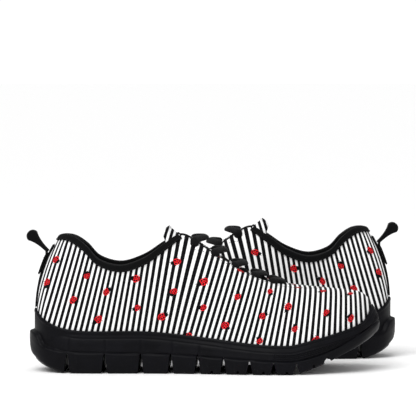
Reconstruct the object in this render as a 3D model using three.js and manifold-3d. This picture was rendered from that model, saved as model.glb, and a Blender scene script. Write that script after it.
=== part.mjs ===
// A pair of laced sports shoes with padded collars and a one-piece foam sole.
// Each shoe is modelled in its own frame: X from the back of the heel to the toe, Y across,
// Z up from the ground. The pair stands on one floor, toes pointing opposite ways.
import * as THREE from "three";
import { mergeVertices } from "three/addons/utils/BufferGeometryUtils.js";
import Module from "manifold-3d";

const wasm = await Module();
wasm.setup();

// ---- driving dimensions of one shoe, in millimetres ----
const shoeLength = 290;
const ballWidth = 101; // widest part of the sole
const waistWidth = 69; // narrowest part of the sole
const heelWidth = 73;
const heelHeight = 111.5; // top of the collar behind the heel
const ankleHeight = 87.2; // lowest point of the collar
const instepHeight = 112.4; // top corner of the lace rows
const throatHeight = 71.4; // front end of the throat, over the toes
const throatWidth = 30; // gap between the two lace rows at the instep
const collarWidth = 64; // mouth of the shoe, across the ankle
const toeSwing = 8; // how far the toe's tip leans towards the big toe

// sole
const heelFoam = 24; // foam under the heel, the arch, the ball and the toe tip
const archFoam = 22;
const ballFoam = 15;
const toeFoam = 8;
const toeSpring = 31.5; // height of the sole's underside at the tip of the toe
const heelBevel = 14; // height of the sole's underside at the very back
const rimInset = 7; // from the sole's widest line in to the upper's lower edge
const rimWall = 1.1; // thickness of the rim at its top edge
const slitWidthLow = 5.2; // flex slits are wedges, wider at the ground
const slitWidthHigh = 1.5;
const treadThickness = 2;
const treadInset = 7; // from the sole's widest line in to the rubber pads
const treadGap = 0.4; // round each rubber pad in its pocket

// layers of the upper, from the outside in
const fabricThickness = 1.2;
const stiffenerThickness = 1.2;
const liningThickness = 1;
const collarPadding = 5; // extra thickness of the padded collar
const clearance = 0.3; // between touching pieces
const trayClearance = 0.5; // between the upper and the foam tray around it
const bindingThickness = 0.9;
const bindingDrop = 4; // how far the edge binding reaches down the outside

// strobel board and insole
const boardThickness = 1.2;
const insoleThickness = 4.5;

// tongue
const tongueSkin = 0.8;
const tonguePadding = 4;
const tongueTopHalfWidth = 15.3;
const tongueRootHalfWidth = 14;
const tongueArch = 7; // how far the tongue falls away to its sides
const tongueOverhang = 7; // how far the tongue stands above the lace rows

// lace and eyelets
const eyeletRows = 5;
const eyeletRadius = 3.8;
const laceHalfWidth = 2.8;
const laceHalfThickness = 1.5;

// pull tab and heel tape
const tabLength = 21.5; // from its sewn root to its tip
const tabDrop = 13.5; // its root is this far below the top of the heel
const tabBulb = 5; // radius of its rounded end
const tabWall = 1.3; // half the thickness of its neck
const tabWidth = 12;
const tapeThickness = 1.2;

// the pair
const pairSpacing = 128; // between the two centre lines
const pairShift = 20; // the shoe behind stands this much further along X

// ---- small helpers ----
const vec = (x, y, z) => new THREE.Vector3(x, y, z);
const mix = (a, b, k) => a + (b - a) * k;

// Cubic pieces through [place, value] pairs.
function profile(points) {
  const last = points.length - 1;
  const slope = points.map((_, i) => {
    const before = points[Math.max(i - 1, 0)];
    const after = points[Math.min(i + 1, last)];
    return (after[1] - before[1]) / (after[0] - before[0]);
  });
  return (place) => {
    const x = Math.min(Math.max(place, points[0][0]), points[last][0]);
    const i = Math.max(points.findIndex((p) => x <= p[0]), 1) - 1;
    const step = points[i + 1][0] - points[i][0];
    const k = (x - points[i][0]) / step;
    const k2 = k * k;
    const k3 = k2 * k;
    return (2 * k3 - 3 * k2 + 1) * points[i][1] + (k3 - 2 * k2 + k) * step * slope[i]
      + (3 * k2 - 2 * k3) * points[i + 1][1] + (k3 - k2) * step * slope[i + 1];
  };
}

// A curve through points that starts and ends square to the centre line, where its Y is zero.
function halfLoop(points) {
  const mirrored = (p) => vec(p.x, -p.y, p.z);
  const last = points.length - 1;
  const all = [mirrored(points[1]), ...points, mirrored(points[last - 1])];
  return (share) => {
    const along = Math.min(Math.max(share, 0), 1) * last;
    const i = Math.min(Math.floor(along), last - 1);
    const k = along - i;
    const [a, b, c, d] = all.slice(i, i + 4);
    const blend = (p, q, r, s) => 0.5 * (2 * q + (r - p) * k
      + (2 * p - 5 * q + 4 * r - s) * k * k + (3 * q - p - 3 * r + s) * k * k * k);
    return vec(blend(a.x, b.x, c.x, d.x), blend(a.y, b.y, c.y, d.y), blend(a.z, b.z, c.z, d.z));
  };
}

// ---- lines that shape the shoe, as shares of its length ----
const groundAt = (x) => {
  const springStart = 0.741 * shoeLength;
  const bevelEnd = 0.12 * shoeLength;
  if (x > springStart) return toeSpring * ((x - springStart) / (shoeLength - springStart)) ** 1.35;
  if (x < bevelEnd) return heelBevel * (1 - x / bevelEnd) ** 2;
  return 0;
};
const foamUnder = profile([[0, heelFoam], [0.3, mix(heelFoam, archFoam, 0.8)], [0.5, archFoam - 2],
  [0.68, ballFoam], [0.8, ballFoam - 2], [0.9, toeFoam + 2], [1, toeFoam]]);
const springAt = (x) => (x > shoeLength / 2 ? groundAt(x) : 0);
const footbedAt = (x) => foamUnder(x / shoeLength) + springAt(x);

// Height of the line where the upper comes out of the sole.
const biteRise = profile([[0.024, 27.5], [0.045, 20.5], [0.09, 14], [0.16, 11.5], [0.33, 12.5],
  [0.5, 10], [0.62, 9], [0.72, 9.5], [0.78, 10.5], [0.87, 10], [0.93, 9], [0.955, 10.5], [0.976, 17.5]]);
const biteAt = (x) => footbedAt(x) + biteRise(x / shoeLength);

// The sole seen from above: half its width, and the centre line that it is set out from.
const soleHalf = halfLoop([
  [0, 0], [0.012, 0.42 * heelWidth / 2], [0.048, 0.76 * heelWidth / 2],
  [0.118, 0.97 * heelWidth / 2], [0.2, heelWidth / 2], [0.283, mix(heelWidth, waistWidth, 0.5) / 2],
  [0.362, waistWidth / 2], [0.441, mix(waistWidth, ballWidth, 0.1) / 2],
  [0.524, mix(waistWidth, ballWidth, 0.38) / 2], [0.614, mix(waistWidth, ballWidth, 0.76) / 2],
  [0.71, ballWidth / 2], [0.804, 0.96 * ballWidth / 2], [0.892, 0.8 * ballWidth / 2],
  [0.96, 0.53 * ballWidth / 2], [1, 0],
].map(([share, half]) => vec(share * shoeLength, half, 0)));
const centreLine = profile([[0, 0], [0.2, -0.5], [0.42, -3.5], [0.6, -2], [0.8, 1.5], [1, toeSwing]]);

// The top edge of the upper: round the heel, over the ankle, up to the instep and down the throat.
const collarRise = (k) => mix(ankleHeight, heelHeight, k);
const instepRise = (k) => mix(ankleHeight, instepHeight, k);
const throatFall = (k) => mix(throatHeight, instepHeight, k);
const topHalf = halfLoop([
  [0.087, 0, collarRise(0.97)], [0.104, 0.29 * collarWidth / 2, collarRise(1)],
  [0.13, 0.54 * collarWidth / 2, collarRise(0.93)], [0.162, 0.74 * collarWidth / 2, collarRise(0.66)],
  [0.2, 0.9 * collarWidth / 2, collarRise(0.2)], [0.262, collarWidth / 2, collarRise(0)],
  [0.328, 0.96 * collarWidth / 2, instepRise(0.24)], [0.386, 0.78 * collarWidth / 2, instepRise(0.7)],
  [0.438, throatWidth / 2 + 1.5, instepRise(1)], [0.507, throatWidth / 2, throatFall(0.71)],
  [0.579, 0.94 * throatWidth / 2, throatFall(0.37)], [0.645, 0.8 * throatWidth / 2, throatFall(0.14)],
  [0.7, 0.56 * throatWidth / 2, throatFall(0.04)], [0.726, 0.27 * throatWidth / 2, throatFall(0.01)],
  [0.731, 0, throatFall(0)],
].map(([share, half, z]) => vec(share * shoeLength, half, z)));

// How the upper bellies out between its two edges, by share of the way from heel to toe.
const lowerReach = profile([[0, 0.42], [0.3, 0.42], [0.6, 0.5], [0.8, 0.72], [0.92, 1.02], [1, 1.15]]);
const upperReach = profile([[0, 0.85], [0.3, 0.7], [0.55, 0.75], [0.8, 0.66], [1, 0.75]]);
const upperDrop = profile([[0, 0.3], [0.4, 0.28], [0.55, 0.16], [0.8, 0.12], [1, 0.27]]);
const belly = 3.5;

// A point of the sole's plan, moved in from the widest line. Column 0 is the heel, 1 the toe.
function solePoint(around, inset) {
  const share = Math.abs(around);
  const side = around < 0 ? 1 : -1; // +1 is the inner side of the foot
  const nudge = 0.004;
  const at = soleHalf(share);
  const ahead = share + nudge > 1 ? mirrorY(soleHalf(2 - share - nudge)) : soleHalf(share + nudge);
  const behind = share < nudge ? mirrorY(soleHalf(nudge - share)) : soleHalf(share - nudge);
  const along = ahead.sub(behind).normalize();
  const x = at.x + inset * along.y;
  const half = at.y - inset * along.x;
  return vec(x, centreLine(at.x / shoeLength) + side * half, 0);
}
function mirrorY(p) {
  return vec(p.x, -p.y, p.z);
}

// The outer surface of the upper. around: 0 heel, 1 toe, negative on the foot's inner side;
// up: 0 at the sole, 1 at the top edge.
function skin(around, up) {
  const share = Math.abs(around);
  const side = around < 0 ? 1 : -1;
  const low = solePoint(around, rimInset);
  low.z = footbedAt(low.x);
  const edge = topHalf(share);
  const high = vec(edge.x, centreLine(edge.x / shoeLength) + side * edge.y, edge.z);
  const outward = solePoint(around, rimInset - 1).sub(solePoint(around, rimInset)).setZ(0);
  const rise = high.z - low.z;
  const lowHandle = low.clone().addScaledVector(outward, belly);
  lowHandle.z += lowerReach(share) * rise;
  const spread = low.clone().sub(high).setZ(0).multiplyScalar(upperReach(share));
  const highHandle = high.clone().add(spread).addScaledVector(outward, belly * 0.6);
  highHandle.z -= upperDrop(share) * rise;
  return new THREE.CubicBezierCurve3(low, lowHandle, highHandle, high).getPoint(up);
}

// The surface's outward normal.
function skinNormal(around, up) {
  const d = 0.004;
  const wrap = (a) => (a > 1 ? a - 2 : a < -1 ? a + 2 : a);
  const along = skin(wrap(around + d), up).sub(skin(wrap(around - d), up));
  const rising = skin(around, Math.min(up + d, 1)).sub(skin(around, Math.max(up - d, 0)));
  const normal = along.cross(rising).normalize();
  return normal;
}

// Columns and rows that every layer shares, so that the layers stay parallel.
const columns = 18; // from heel to toe, on each side
const rows = [0, 0.08, 0.22, 0.4, 0.58, 0.76, 0.9, 1];
const topRow = rows.length - 1;
const ring = Array.from({ length: 2 * columns }, (_, i) => (i > columns ? i - 2 * columns : i));
const skinCache = new Map();
function lattice(column, row) {
  const key = `${column}/${row}`;
  if (!skinCache.has(key)) {
    const around = column / columns;
    const onAxis = column === 0 || Math.abs(column) === columns;
    const point = skin(around, rows[row]);
    const normal = skinNormal(around, rows[row]);
    if (onAxis) normal.setY(0).normalize();
    skinCache.set(key, { point, normal });
  }
  return skinCache.get(key);
}
function inward(column, row, depth) {
  const { point, normal } = lattice(column, row);
  return point.clone().addScaledVector(normal, -depth);
}

// ---- mesh making ----
function geometryOf(points, faces) {
  const raw = new THREE.BufferGeometry();
  raw.setAttribute("position", new THREE.Float32BufferAttribute(points.flatMap((p) => p.toArray()), 3));
  raw.setIndex(faces.flat());
  const merged = mergeVertices(raw, 1e-4);
  const index = merged.index.array;
  const kept = [];
  for (let i = 0; i < index.length; i += 3) {
    const [a, b, c] = [index[i], index[i + 1], index[i + 2]];
    if (a !== b && b !== c && c !== a) kept.push(a, b, c);
  }
  merged.setIndex(kept);
  return merged;
}

// Joins cross-sections of equal length. A section is a list of points; round sections close on
// themselves, and a looped row of sections joins its last to its first.
// turn says which cells are split along their other diagonal, so that layers match.
function loft(sections, { round = false, looped = false, caps = false, turn = () => false }) {
  const count = sections[0].length;
  const faces = [];
  const at = (i, j) => (i % sections.length) * count + (j % count);
  const spans = looped ? sections.length : sections.length - 1;
  const steps = round ? count : count - 1;
  for (let i = 0; i < spans; i += 1) {
    for (let j = 0; j < steps; j += 1) {
      const [a, b, c, d] = [at(i, j), at(i + 1, j), at(i + 1, j + 1), at(i, j + 1)];
      if (turn(i, j)) faces.push([a, b, d], [b, c, d]);
      else faces.push([a, b, c], [a, c, d]);
    }
  }
  if (caps) {
    const last = sections.length - 1;
    for (let j = 0; j < count / 2 - 1; j += 1) {
      const other = count - 1 - j;
      faces.push([at(0, j), at(0, j + 1), at(0, other - 1)], [at(0, j), at(0, other - 1), at(0, other)]);
      faces.push([at(last, j + 1), at(last, j), at(last, other - 1)]);
      faces.push([at(last, other - 1), at(last, j), at(last, other)]);
    }
  }
  return geometryOf(sections.flat(), faces);
}

function solidOf(geometry) {
  const bare = geometry.index ? geometry.clone() : geometry;
  bare.deleteAttribute("normal");
  bare.deleteAttribute("uv");
  const merged = mergeVertices(bare, 1e-4);
  const mesh = new wasm.Mesh({
    numProp: 3,
    vertProperties: merged.attributes.position.array,
    triVerts: new Uint32Array(merged.index.array),
  });
  const solid = new wasm.Manifold(mesh);
  return solid;
}

function geometryFrom(solid) {
  const mesh = solid.getMesh();
  const geometry = new THREE.BufferGeometry();
  geometry.setAttribute("position", new THREE.BufferAttribute(mesh.vertProperties, 3));
  geometry.setIndex(new THREE.BufferAttribute(mesh.triVerts, 1));
  return geometry;
}

// ---- layers cut from the lattice ----
// A slab between two depths, over a range of columns and rows.
function layer(cols, rowRange, outerDepth, innerDepth, looped = false, highest = () => topRow) {
  const used = span(rowRange[0], rowRange[1]);
  const sections = cols.map((c) => [
    ...used.map((j) => Math.min(j, highest(c))).map((j) => inward(c, j, outerDepth(c, j))),
    ...used.toReversed().map((j) => Math.min(j, highest(c))).map((j) => inward(c, j, innerDepth(c, j))),
  ]);
  const turn = (i, j) => (cols[i] < 0) !== (j >= used.length);
  return loft(sections, { round: true, looped, caps: !looped, turn });
}
function span(from, to) {
  return Array.from({ length: to - from + 1 }, (_, i) => from + i);
}

const collarEnd = 9; // the padding runs to this column on both sides
const paddingByRow = [0, 0, 0, 0, 0.3, 1, 0.95, 0.6];
function paddingAt(column, row) {
  const past = Math.abs(column) - (collarEnd - 1);
  const fade = past <= 0 ? 1 : past === 1 ? 0.5 : 0;
  return collarPadding * fade * paddingByRow[row];
}
const stiffenerDepth = fabricThickness + clearance;
const liningBase = stiffenerDepth + stiffenerThickness + clearance;
const liningDepth = (c, j) => liningBase + paddingAt(c, j);
const liningInner = (c, j) => liningDepth(c, j) + liningThickness;

// Beside the throat the lining stops below the eyelets, where the eyestays take over.
const eyestayColumns = [collarEnd + 1, 15];
const eyestayRow = 5;
const liningTop = (c) => (Math.abs(c) >= eyestayColumns[0] ? eyestayRow : topRow);

const upperShell = () => layer(ring, [0, topRow], () => 0, () => fabricThickness, true);
const liningShell = () => layer(ring, [0, topRow], liningDepth, liningInner, true, liningTop);
const stiffener = (cols, rowRange) => layer(cols, rowRange,
  () => stiffenerDepth, () => stiffenerDepth + stiffenerThickness);
const eyestay = (cols) => stiffener(cols, [eyestayRow, topRow]);
const collarFoam = () => layer(span(-collarEnd, collarEnd), [4, topRow],
  () => stiffenerDepth, (c, j) => liningDepth(c, j) - clearance);

// The binding folds over the collar's edge: down the outside, over, and down the inside.
function collarBinding() {
  const reach = collarEnd + 1;
  const sections = span(-reach, reach).map((c) => {
    const length = lattice(c, topRow).point.distanceTo(lattice(c, topRow - 1).point);
    const place = (depth, down, past = 0) => {
      const top = inward(c, topRow, depth(topRow));
      const low = inward(c, topRow - 1, depth(topRow - 1));
      const along = low.clone().sub(top).normalize();
      return top.lerp(low, down / length).addScaledVector(along, -past);
    };
    const near = clearance + 0.1;
    const far = near + bindingThickness;
    const outside = (gap) => () => -gap;
    const inside = (gap) => (j) => liningInner(c, j) + gap;
    return [
      place(outside(far), bindingDrop), place(outside(far), 0, near),
      place(outside(0), 0, far), place(inside(0), 0, far),
      place(inside(far + 0.3), 0, near), place(inside(far + 0.3), 0.6 * bindingDrop),
      place(inside(near + 0.3), 0.6 * bindingDrop), place(inside(near + 0.3), 0, near),
      place(inside(near + 0.3), 0, near), place(outside(near), 0, near),
      place(outside(near), 0, near), place(outside(near), bindingDrop),
    ];
  });
  return loft(sections, { round: true, caps: true });
}

// ---- sole ----
// Plan points on the centre line, where the two halves of a plate meet.
function spinePoint(column, z) {
  const across = solePoint(column / columns, rimInset).x;
  const x = Math.min(Math.max(across, 0.05 * shoeLength), 0.955 * shoeLength);
  return vec(x, centreLine(x / shoeLength), z(x));
}

// A flat plate that follows the sole's outline, between two height lines.
function plate(inset, lowAt, highAt) {
  const turn = (i) => ring[i] < 0;
  const sections = ring.map((c) => {
    const low = solePoint(c / columns, inset);
    const high = low.clone();
    low.z = lowAt(low.x);
    high.z = highAt(high.x);
    return [spinePoint(c, lowAt), low, high, spinePoint(c, highAt)];
  });
  return loft(sections, { looped: true, turn });
}

// A point on the faceted skin at a given height, moved outwards.
function facetAt(column, height, outwardBy) {
  let row = 0;
  while (row < rows.length - 2 && lattice(column, row + 1).point.z < height) row += 1;
  const low = inward(column, row, -outwardBy);
  const high = inward(column, row + 1, -outwardBy);
  const k = Math.min(Math.max((height - low.z) / (high.z - low.z), 0), 1);
  return low.lerp(high, k);
}

function midsoleBlank() {
  const wallRows = [3, 2, 1];
  const sections = ring.map((c) => {
    const around = c / columns;
    const wall = solePoint(around, 0);
    const ground = groundAt(wall.x);
    const foot = solePoint(around, rimInset);
    const bite = biteAt(foot.x);
    const height = bite - ground;
    const side = (inset, share) => solePoint(around, inset).setZ(ground + share * height);
    const underside = solePoint(around, 5).setZ(ground);
    const rimOut = facetAt(c, bite, trayClearance + rimWall);
    const rimIn = facetAt(c, bite, trayClearance);
    const inner = wallRows.map((j) => {
      const at = inward(c, j, -trayClearance);
      return at.z < bite ? at : rimIn.clone();
    });
    const floorEdge = inward(c, 0, -trayClearance).setZ(footbedAt(foot.x) - clearance);
    return [spinePoint(c, groundAt), underside, side(1.2, 0.12), side(0, 0.38), side(1, 0.66),
      rimOut, rimIn, ...inner, floorEdge, spinePoint(c, (x) => footbedAt(x) - clearance)];
  });
  const inner = (j) => j >= 5;
  return loft(sections, { looped: true, turn: (i, j) => (ring[i] < 0) !== inner(j) });
}

// Places of the flex slits along the sole, and how high each one reaches.
const slitShares = [0.114, 0.22, 0.322, 0.407, 0.483, 0.556, 0.63, 0.698, 0.762, 0.85];
const slitTop = profile([[0, 16.4], [0.5, 16.4], [0.556, 14], [0.63, 11], [0.7, 9.5], [0.762, 9],
  [0.85, 5], [1, 4]]);
function slitCutter(share) {
  const x = share * shoeLength;
  const top = slitTop(share) + (share > 0.8 ? groundAt(x) : 0);
  const outline = new THREE.Shape([
    new THREE.Vector2(x - slitWidthLow / 2, -1), new THREE.Vector2(x + slitWidthLow / 2, -1),
    new THREE.Vector2(x + slitWidthHigh / 2, top), new THREE.Vector2(x - slitWidthHigh / 2, top),
  ]);
  const prism = new THREE.ExtrudeGeometry(outline, { depth: 2 * ballWidth, bevelEnabled: false });
  prism.rotateX(Math.PI / 2);
  prism.translate(0, ballWidth, 0);
  return prism;
}

// Rubber pads under the most worn pods, each between two slits.
const treadPods = {
  heel_tread: [0.02, 0],
  rear_tread: [0, 1],
  ball_tread: [6, 7],
  fore_tread: [7, 8],
  toe_tread: [8, 9],
};
const slitGap = slitWidthLow / 2 + 1.2;
function podLimits(name) {
  const [from, to] = treadPods[name];
  const start = name === "heel_tread" ? from * shoeLength : slitShares[from] * shoeLength + slitGap;
  return [start, slitShares[to] * shoeLength - slitGap];
}
function podBlock([from, to], grow) {
  const block = new THREE.BoxGeometry(to - from + 2 * grow, 2 * ballWidth, 4 * toeSpring);
  block.translate((from + to) / 2, 0, toeSpring);
  return block;
}
const treadBlank = () => plate(treadInset, groundAt, (x) => groundAt(x) + treadThickness);
const treadPocket = () => plate(treadInset - treadGap, (x) => groundAt(x) - 1,
  (x) => groundAt(x) + treadThickness + treadGap);

function midsole() {
  let solid = solidOf(midsoleBlank());
  slitShares.forEach((share) => {
    solid = solid.subtract(solidOf(slitCutter(share)));
  });
  const pocket = solidOf(treadPocket());
  Object.keys(treadPods).forEach((name) => {
    solid = solid.subtract(pocket.intersect(solidOf(podBlock(podLimits(name), treadGap))));
  });
  return geometryFrom(solid);
}
function tread(name) {
  return geometryFrom(solidOf(treadBlank()).intersect(solidOf(podBlock(podLimits(name), 0))));
}

const plateInset = rimInset + liningBase + liningThickness + 0.8;
const board = () => plate(plateInset, footbedAt, (x) => footbedAt(x) + boardThickness);
const insoleUnder = boardThickness + clearance;
const insole = () => plate(plateInset, (x) => footbedAt(x) + insoleUnder,
  (x) => footbedAt(x) + insoleUnder + insoleThickness);

// ---- tongue ----
// Height of the tongue's face on the centre line, from its root under the vamp to its top.
const shellThickness = liningBase + liningThickness;
const tongueLine = [
  [0.766, throatHeight - 9.5], [0.71, throatFall(0) - 6.2], [0.645, throatFall(0.14) - 5.4],
  [0.575, throatFall(0.37) - 5], [0.505, throatFall(0.71) - 5.6], [0.445, throatFall(0.985) - 4.2],
  [0.402, instepHeight + tongueOverhang],
].map(([share, z]) => vec(share * shoeLength, 0, z));
const tongueCurve = new THREE.CatmullRomCurve3(tongueLine);
const tongueSteps = 8;
const tongueAcross = [-1, -0.55, 0, 0.55, 1];
function tonguePoint(along, across, depth) {
  const centre = tongueCurve.getPointAt(along);
  const tangent = tongueCurve.getTangentAt(along);
  const down = vec(tangent.z, 0, -tangent.x).normalize();
  if (down.z > 0) down.negate();
  const half = mix(tongueRootHalfWidth, tongueTopHalfWidth, Math.min(along * 1.6, 1));
  const y = across * half;
  const drop = tongueArch * (y / tongueRootHalfWidth) ** 2;
  const thin = 1 - 0.25 * across * across;
  const p = centre.clone().addScaledVector(down, drop + depth * thin);
  p.y = centreLine(centre.x / shoeLength) + y;
  return p;
}
function tongueLayer(outerDepth, innerDepth, trim) {
  const alongs = Array.from({ length: tongueSteps + 1 }, (_, i) => mix(trim, 1 - trim, i / tongueSteps));
  const sections = alongs.map((a) => [
    ...tongueAcross.toReversed().map((b) => tonguePoint(a, b * (1 - trim), outerDepth)),
    ...tongueAcross.map((b) => tonguePoint(a, b * (1 - trim), innerDepth)),
  ]);
  return loft(sections, { round: true, caps: true });
}
const tongueFace = () => tongueLayer(0, tongueSkin, 0);
const tongueFoamTop = tongueSkin + clearance + 0.1;
const tongueFoam = () => tongueLayer(tongueFoamTop, tongueFoamTop + tonguePadding, 0.02);
const tongueBackTop = tongueFoamTop + tonguePadding + clearance + 0.1;
const tongueBack = () => tongueLayer(tongueBackTop, tongueBackTop + tongueSkin, 0);

// ---- eyelets and lace ----
const eyeletUp = 0.88;
const eyeletShare = (row) => mix(0.582, 0.8, row / (eyeletRows - 1)); // row 0 is the top one
const eyelet = (row, side) => {
  const around = -side * eyeletShare(row);
  return { point: skin(around, eyeletUp), normal: skinNormal(around, eyeletUp) };
};
function eyeletCutter(row, side) {
  const { point, normal } = eyelet(row, side);
  const cutter = new THREE.CylinderGeometry(eyeletRadius, eyeletRadius, 20, 6);
  cutter.applyQuaternion(new THREE.Quaternion().setFromUnitVectors(vec(0, 1, 0), normal));
  cutter.translate(point.x, point.y, point.z);
  return cutter;
}
function withEyelets(geometry, sides) {
  let solid = solidOf(geometry);
  sides.forEach((side) => {
    for (let row = 0; row < eyeletRows; row += 1) {
      solid = solid.subtract(solidOf(eyeletCutter(row, side)));
    }
  });
  return geometryFrom(solid);
}

const overSkin = laceHalfThickness + clearance + 0.2;
const stayThickness = stiffenerDepth + stiffenerThickness;
const underSkin = shellThickness + overSkin;
const tailDepth = underSkin + 1;
// The lace as a list of { point, normal }: straight bars over the throat, slanting runs beneath.
function laceRoute() {
  const route = [];
  const put = (point, normal) => route.push({ point, normal: normal.clone().normalize() });
  const above = ({ point, normal }, height) => point.clone().addScaledVector(normal, height);
  // Through an eyelet: outwards side is where the lace comes from or goes to, over and under.
  const eyeletPass = (hole, over, under, upwards) => {
    const lean = 2.4;
    const stops = [
      [above(hole, -underSkin).addScaledVector(under, lean), hole.normal.clone().negate()],
      [above(hole, -stayThickness - 0.6), under.clone().lerp(over, 0.5)],
      [above(hole, 0.4), over.clone().negate()],
      [above(hole, overSkin).addScaledVector(over, lean), hole.normal],
    ];
    (upwards ? stops : stops.toReversed()).forEach(([point, normal], i) => {
      const beneath = upwards ? i < 2 : i > 1;
      put(point, beneath && i % 3 ? normal.clone().negate() : normal);
    });
  };
  const tail = (row, side) => [0.4, 0.52, 0.64, 0.75].map((up) => {
    const around = -side * eyeletShare(row);
    const normal = skinNormal(around, up);
    return { point: skin(around, up).addScaledVector(normal, -tailDepth), normal: normal.negate() };
  });
  const towards = (hole, target) => target.clone().sub(hole.point).projectOnPlane(hole.normal).normalize();
  const down = (hole, side, row) => towards(hole, skin(-side * eyeletShare(row), 0.7));

  tail(0, -1).forEach((t) => put(t.point, t.normal));
  for (let row = 0; row < eyeletRows; row += 1) {
    const outer = eyelet(row, -1);
    const inner = eyelet(row, 1);
    const cameFrom = row === 0 ? down(outer, -1, 0) : towards(outer, eyelet(row - 1, 1).point);
    eyeletPass(outer, towards(outer, inner.point), cameFrom, true);
    const edge = skin(-eyeletShare(row), 1);
    const crownUp = vec(0.35, 0, 1).normalize();
    const hump = edge.sub(inner.point).dot(crownUp) + 1.4;
    [0.28, 0.5, 0.72].forEach((k) => {
      const arch = Math.sin(Math.PI * k) ** 0.5;
      const normal = outer.normal.clone().lerp(inner.normal, k).lerp(crownUp, 0.3);
      put(outer.point.clone().lerp(inner.point, k).addScaledVector(crownUp, overSkin + hump * arch), normal);
    });
    const next = row + 1 < eyeletRows ? eyelet(row + 1, -1) : null;
    const goesTo = next ? towards(inner, next.point) : down(inner, 1, row);
    eyeletPass(inner, towards(inner, outer.point), goesTo, false);
    if (!next) break;
    [[0.15, 1], [0.32, 0.68], [0.5, 0.07], [0.68, 0.6], [0.85, 1]].forEach(([k, sink]) => {
      const normal = inner.normal.clone().lerp(next.normal, k).normalize();
      const rise = -underSkin * sink;
      put(inner.point.clone().lerp(next.point, k).addScaledVector(normal, rise), normal.negate());
    });
  }
  tail(eyeletRows - 1, 1).toReversed().forEach((t) => put(t.point, t.normal));
  return route;
}

// Sweeps a flat oval along a route, its flat side facing each point's normal.
function ribbon(route, halfWidth, halfThickness, sides) {
  const sections = route.map(({ point, normal }, i) => {
    const before = route[Math.max(i - 1, 0)].point;
    const after = route[Math.min(i + 1, route.length - 1)].point;
    const tangent = after.clone().sub(before).normalize();
    const wide = tangent.clone().cross(normal).normalize();
    const thick = wide.clone().cross(tangent).normalize();
    return Array.from({ length: sides }, (_, k) => {
      const angle = (2 * Math.PI * (k + 0.5)) / sides;
      return point.clone()
        .addScaledVector(wide, halfWidth * Math.cos(angle))
        .addScaledVector(thick, halfThickness * Math.sin(angle));
    });
  });
  return loft(sections, { round: true, caps: true });
}
const lace = () => ribbon(laceRoute(), laceHalfWidth, laceHalfThickness, 8);

// ---- heel tape and pull tab ----
function heelTape() {
  const halfShare = 0.55; // of the first column's width
  const beside = (side, place) => place(0).lerp(place(side), halfShare);
  const sections = [-1, 0, 1].map((side) => {
    const at = (depth) => [
      beside(side, (c) => facetAt(c, biteAt(0) + 1, depth)),
      ...span(3, topRow - 1).map((row) => beside(side, (c) => inward(c, row, -depth))),
    ];
    return [...at(clearance + tapeThickness), ...at(clearance).toReversed()];
  });
  return loft(sections, { round: true, caps: true });
}

const tabRoot = () => {
  const seat = facetAt(0, heelHeight - tabDrop, clearance + tapeThickness);
  return seat.add(vec(-tabWall - clearance, 0, tabWall));
};
const tabLean = (135 * Math.PI) / 180;
function pullTab() {
  const neck = tabWall;
  const neckShare = 0.62; // how far along the tab its neck starts to widen
  const centre = tabLength - tabBulb;
  const outline = new THREE.Shape();
  outline.moveTo(0, -neck);
  outline.quadraticCurveTo(centre * neckShare, -neck, centre, -tabBulb);
  outline.absarc(centre, 0, tabBulb, -Math.PI / 2, Math.PI / 2, false);
  outline.quadraticCurveTo(centre * neckShare, neck, 0, neck);
  const tab = new THREE.ExtrudeGeometry(outline, { depth: tabWidth, bevelEnabled: false, curveSegments: 5 });
  tab.translate(0, 0, -tabWidth / 2);
  tab.rotateX(Math.PI / 2);
  tab.rotateY(-tabLean);
  const root = tabRoot();
  tab.translate(root.x, root.y, root.z);
  return tab;
}

// ---- materials ----
const finish = (color, roughness) => new THREE.MeshStandardMaterial({ color, roughness, metalness: 0 });
const stripedFabric = finish(0xb9b3b3, 0.85);
const blackMesh = finish(0x151517, 0.9);
const blackWebbing = finish(0x101012, 0.8);
const blackFoam = finish(0x17171b, 0.75);
const blackRubber = finish(0x1b1b1f, 0.6);
const whiteBoard = finish(0xd8d4c8, 0.9);
const padFoam = finish(0x3a3a3e, 0.95);
const stiffBoard = finish(0x8c8880, 0.7);
const laceKnit = finish(0x1c1c1f, 0.9);

// ---- the pieces of one shoe ----
const pieces = [
  ["midsole", midsole(), blackFoam],
  ...Object.keys(treadPods).map((name) => [name, tread(name), blackRubber]),
  ["strobel_board", board(), whiteBoard],
  ["insole", insole(), blackMesh],
  ["upper", withEyelets(upperShell(), [-1, 1]), stripedFabric],
  ["lining", withEyelets(liningShell(), [-1, 1]), blackMesh],
  ["heel_counter", stiffener(span(-6, 6), [1, 3]), stiffBoard],
  ["toe_puff", stiffener([...span(15, 18), ...span(-17, -15)], [1, 4]), stiffBoard],
  ["lateral_eyestay", withEyelets(eyestay(span(...eyestayColumns)), [-1]), blackWebbing],
  ["medial_eyestay", withEyelets(eyestay(span(-eyestayColumns[1], -eyestayColumns[0])), [1]), blackWebbing],
  ["collar_foam", collarFoam(), padFoam],
  ["collar_binding", collarBinding(), blackWebbing],
  ["heel_tape", heelTape(), blackWebbing],
  ["pull_tab", pullTab(), blackWebbing],
  ["tongue_face", tongueFace(), stripedFabric],
  ["tongue_foam", tongueFoam(), padFoam],
  ["tongue_lining", tongueBack(), blackMesh],
  ["lace", lace(), laceKnit],
];

function shoe(name) {
  const group = new THREE.Group();
  pieces.forEach(([piece, geometry, material]) => {
    const mesh = new THREE.Mesh(geometry, material);
    mesh.name = `${name}_${piece}`;
    group.add(mesh);
  });
  return group;
}

const right = shoe("right");
right.position.set(-(shoeLength + pairShift) / 2, -pairSpacing / 2, 0);
const left = shoe("left");
left.scale.x = -1;
left.position.set((shoeLength + pairShift) / 2, pairSpacing / 2, 0);

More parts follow.
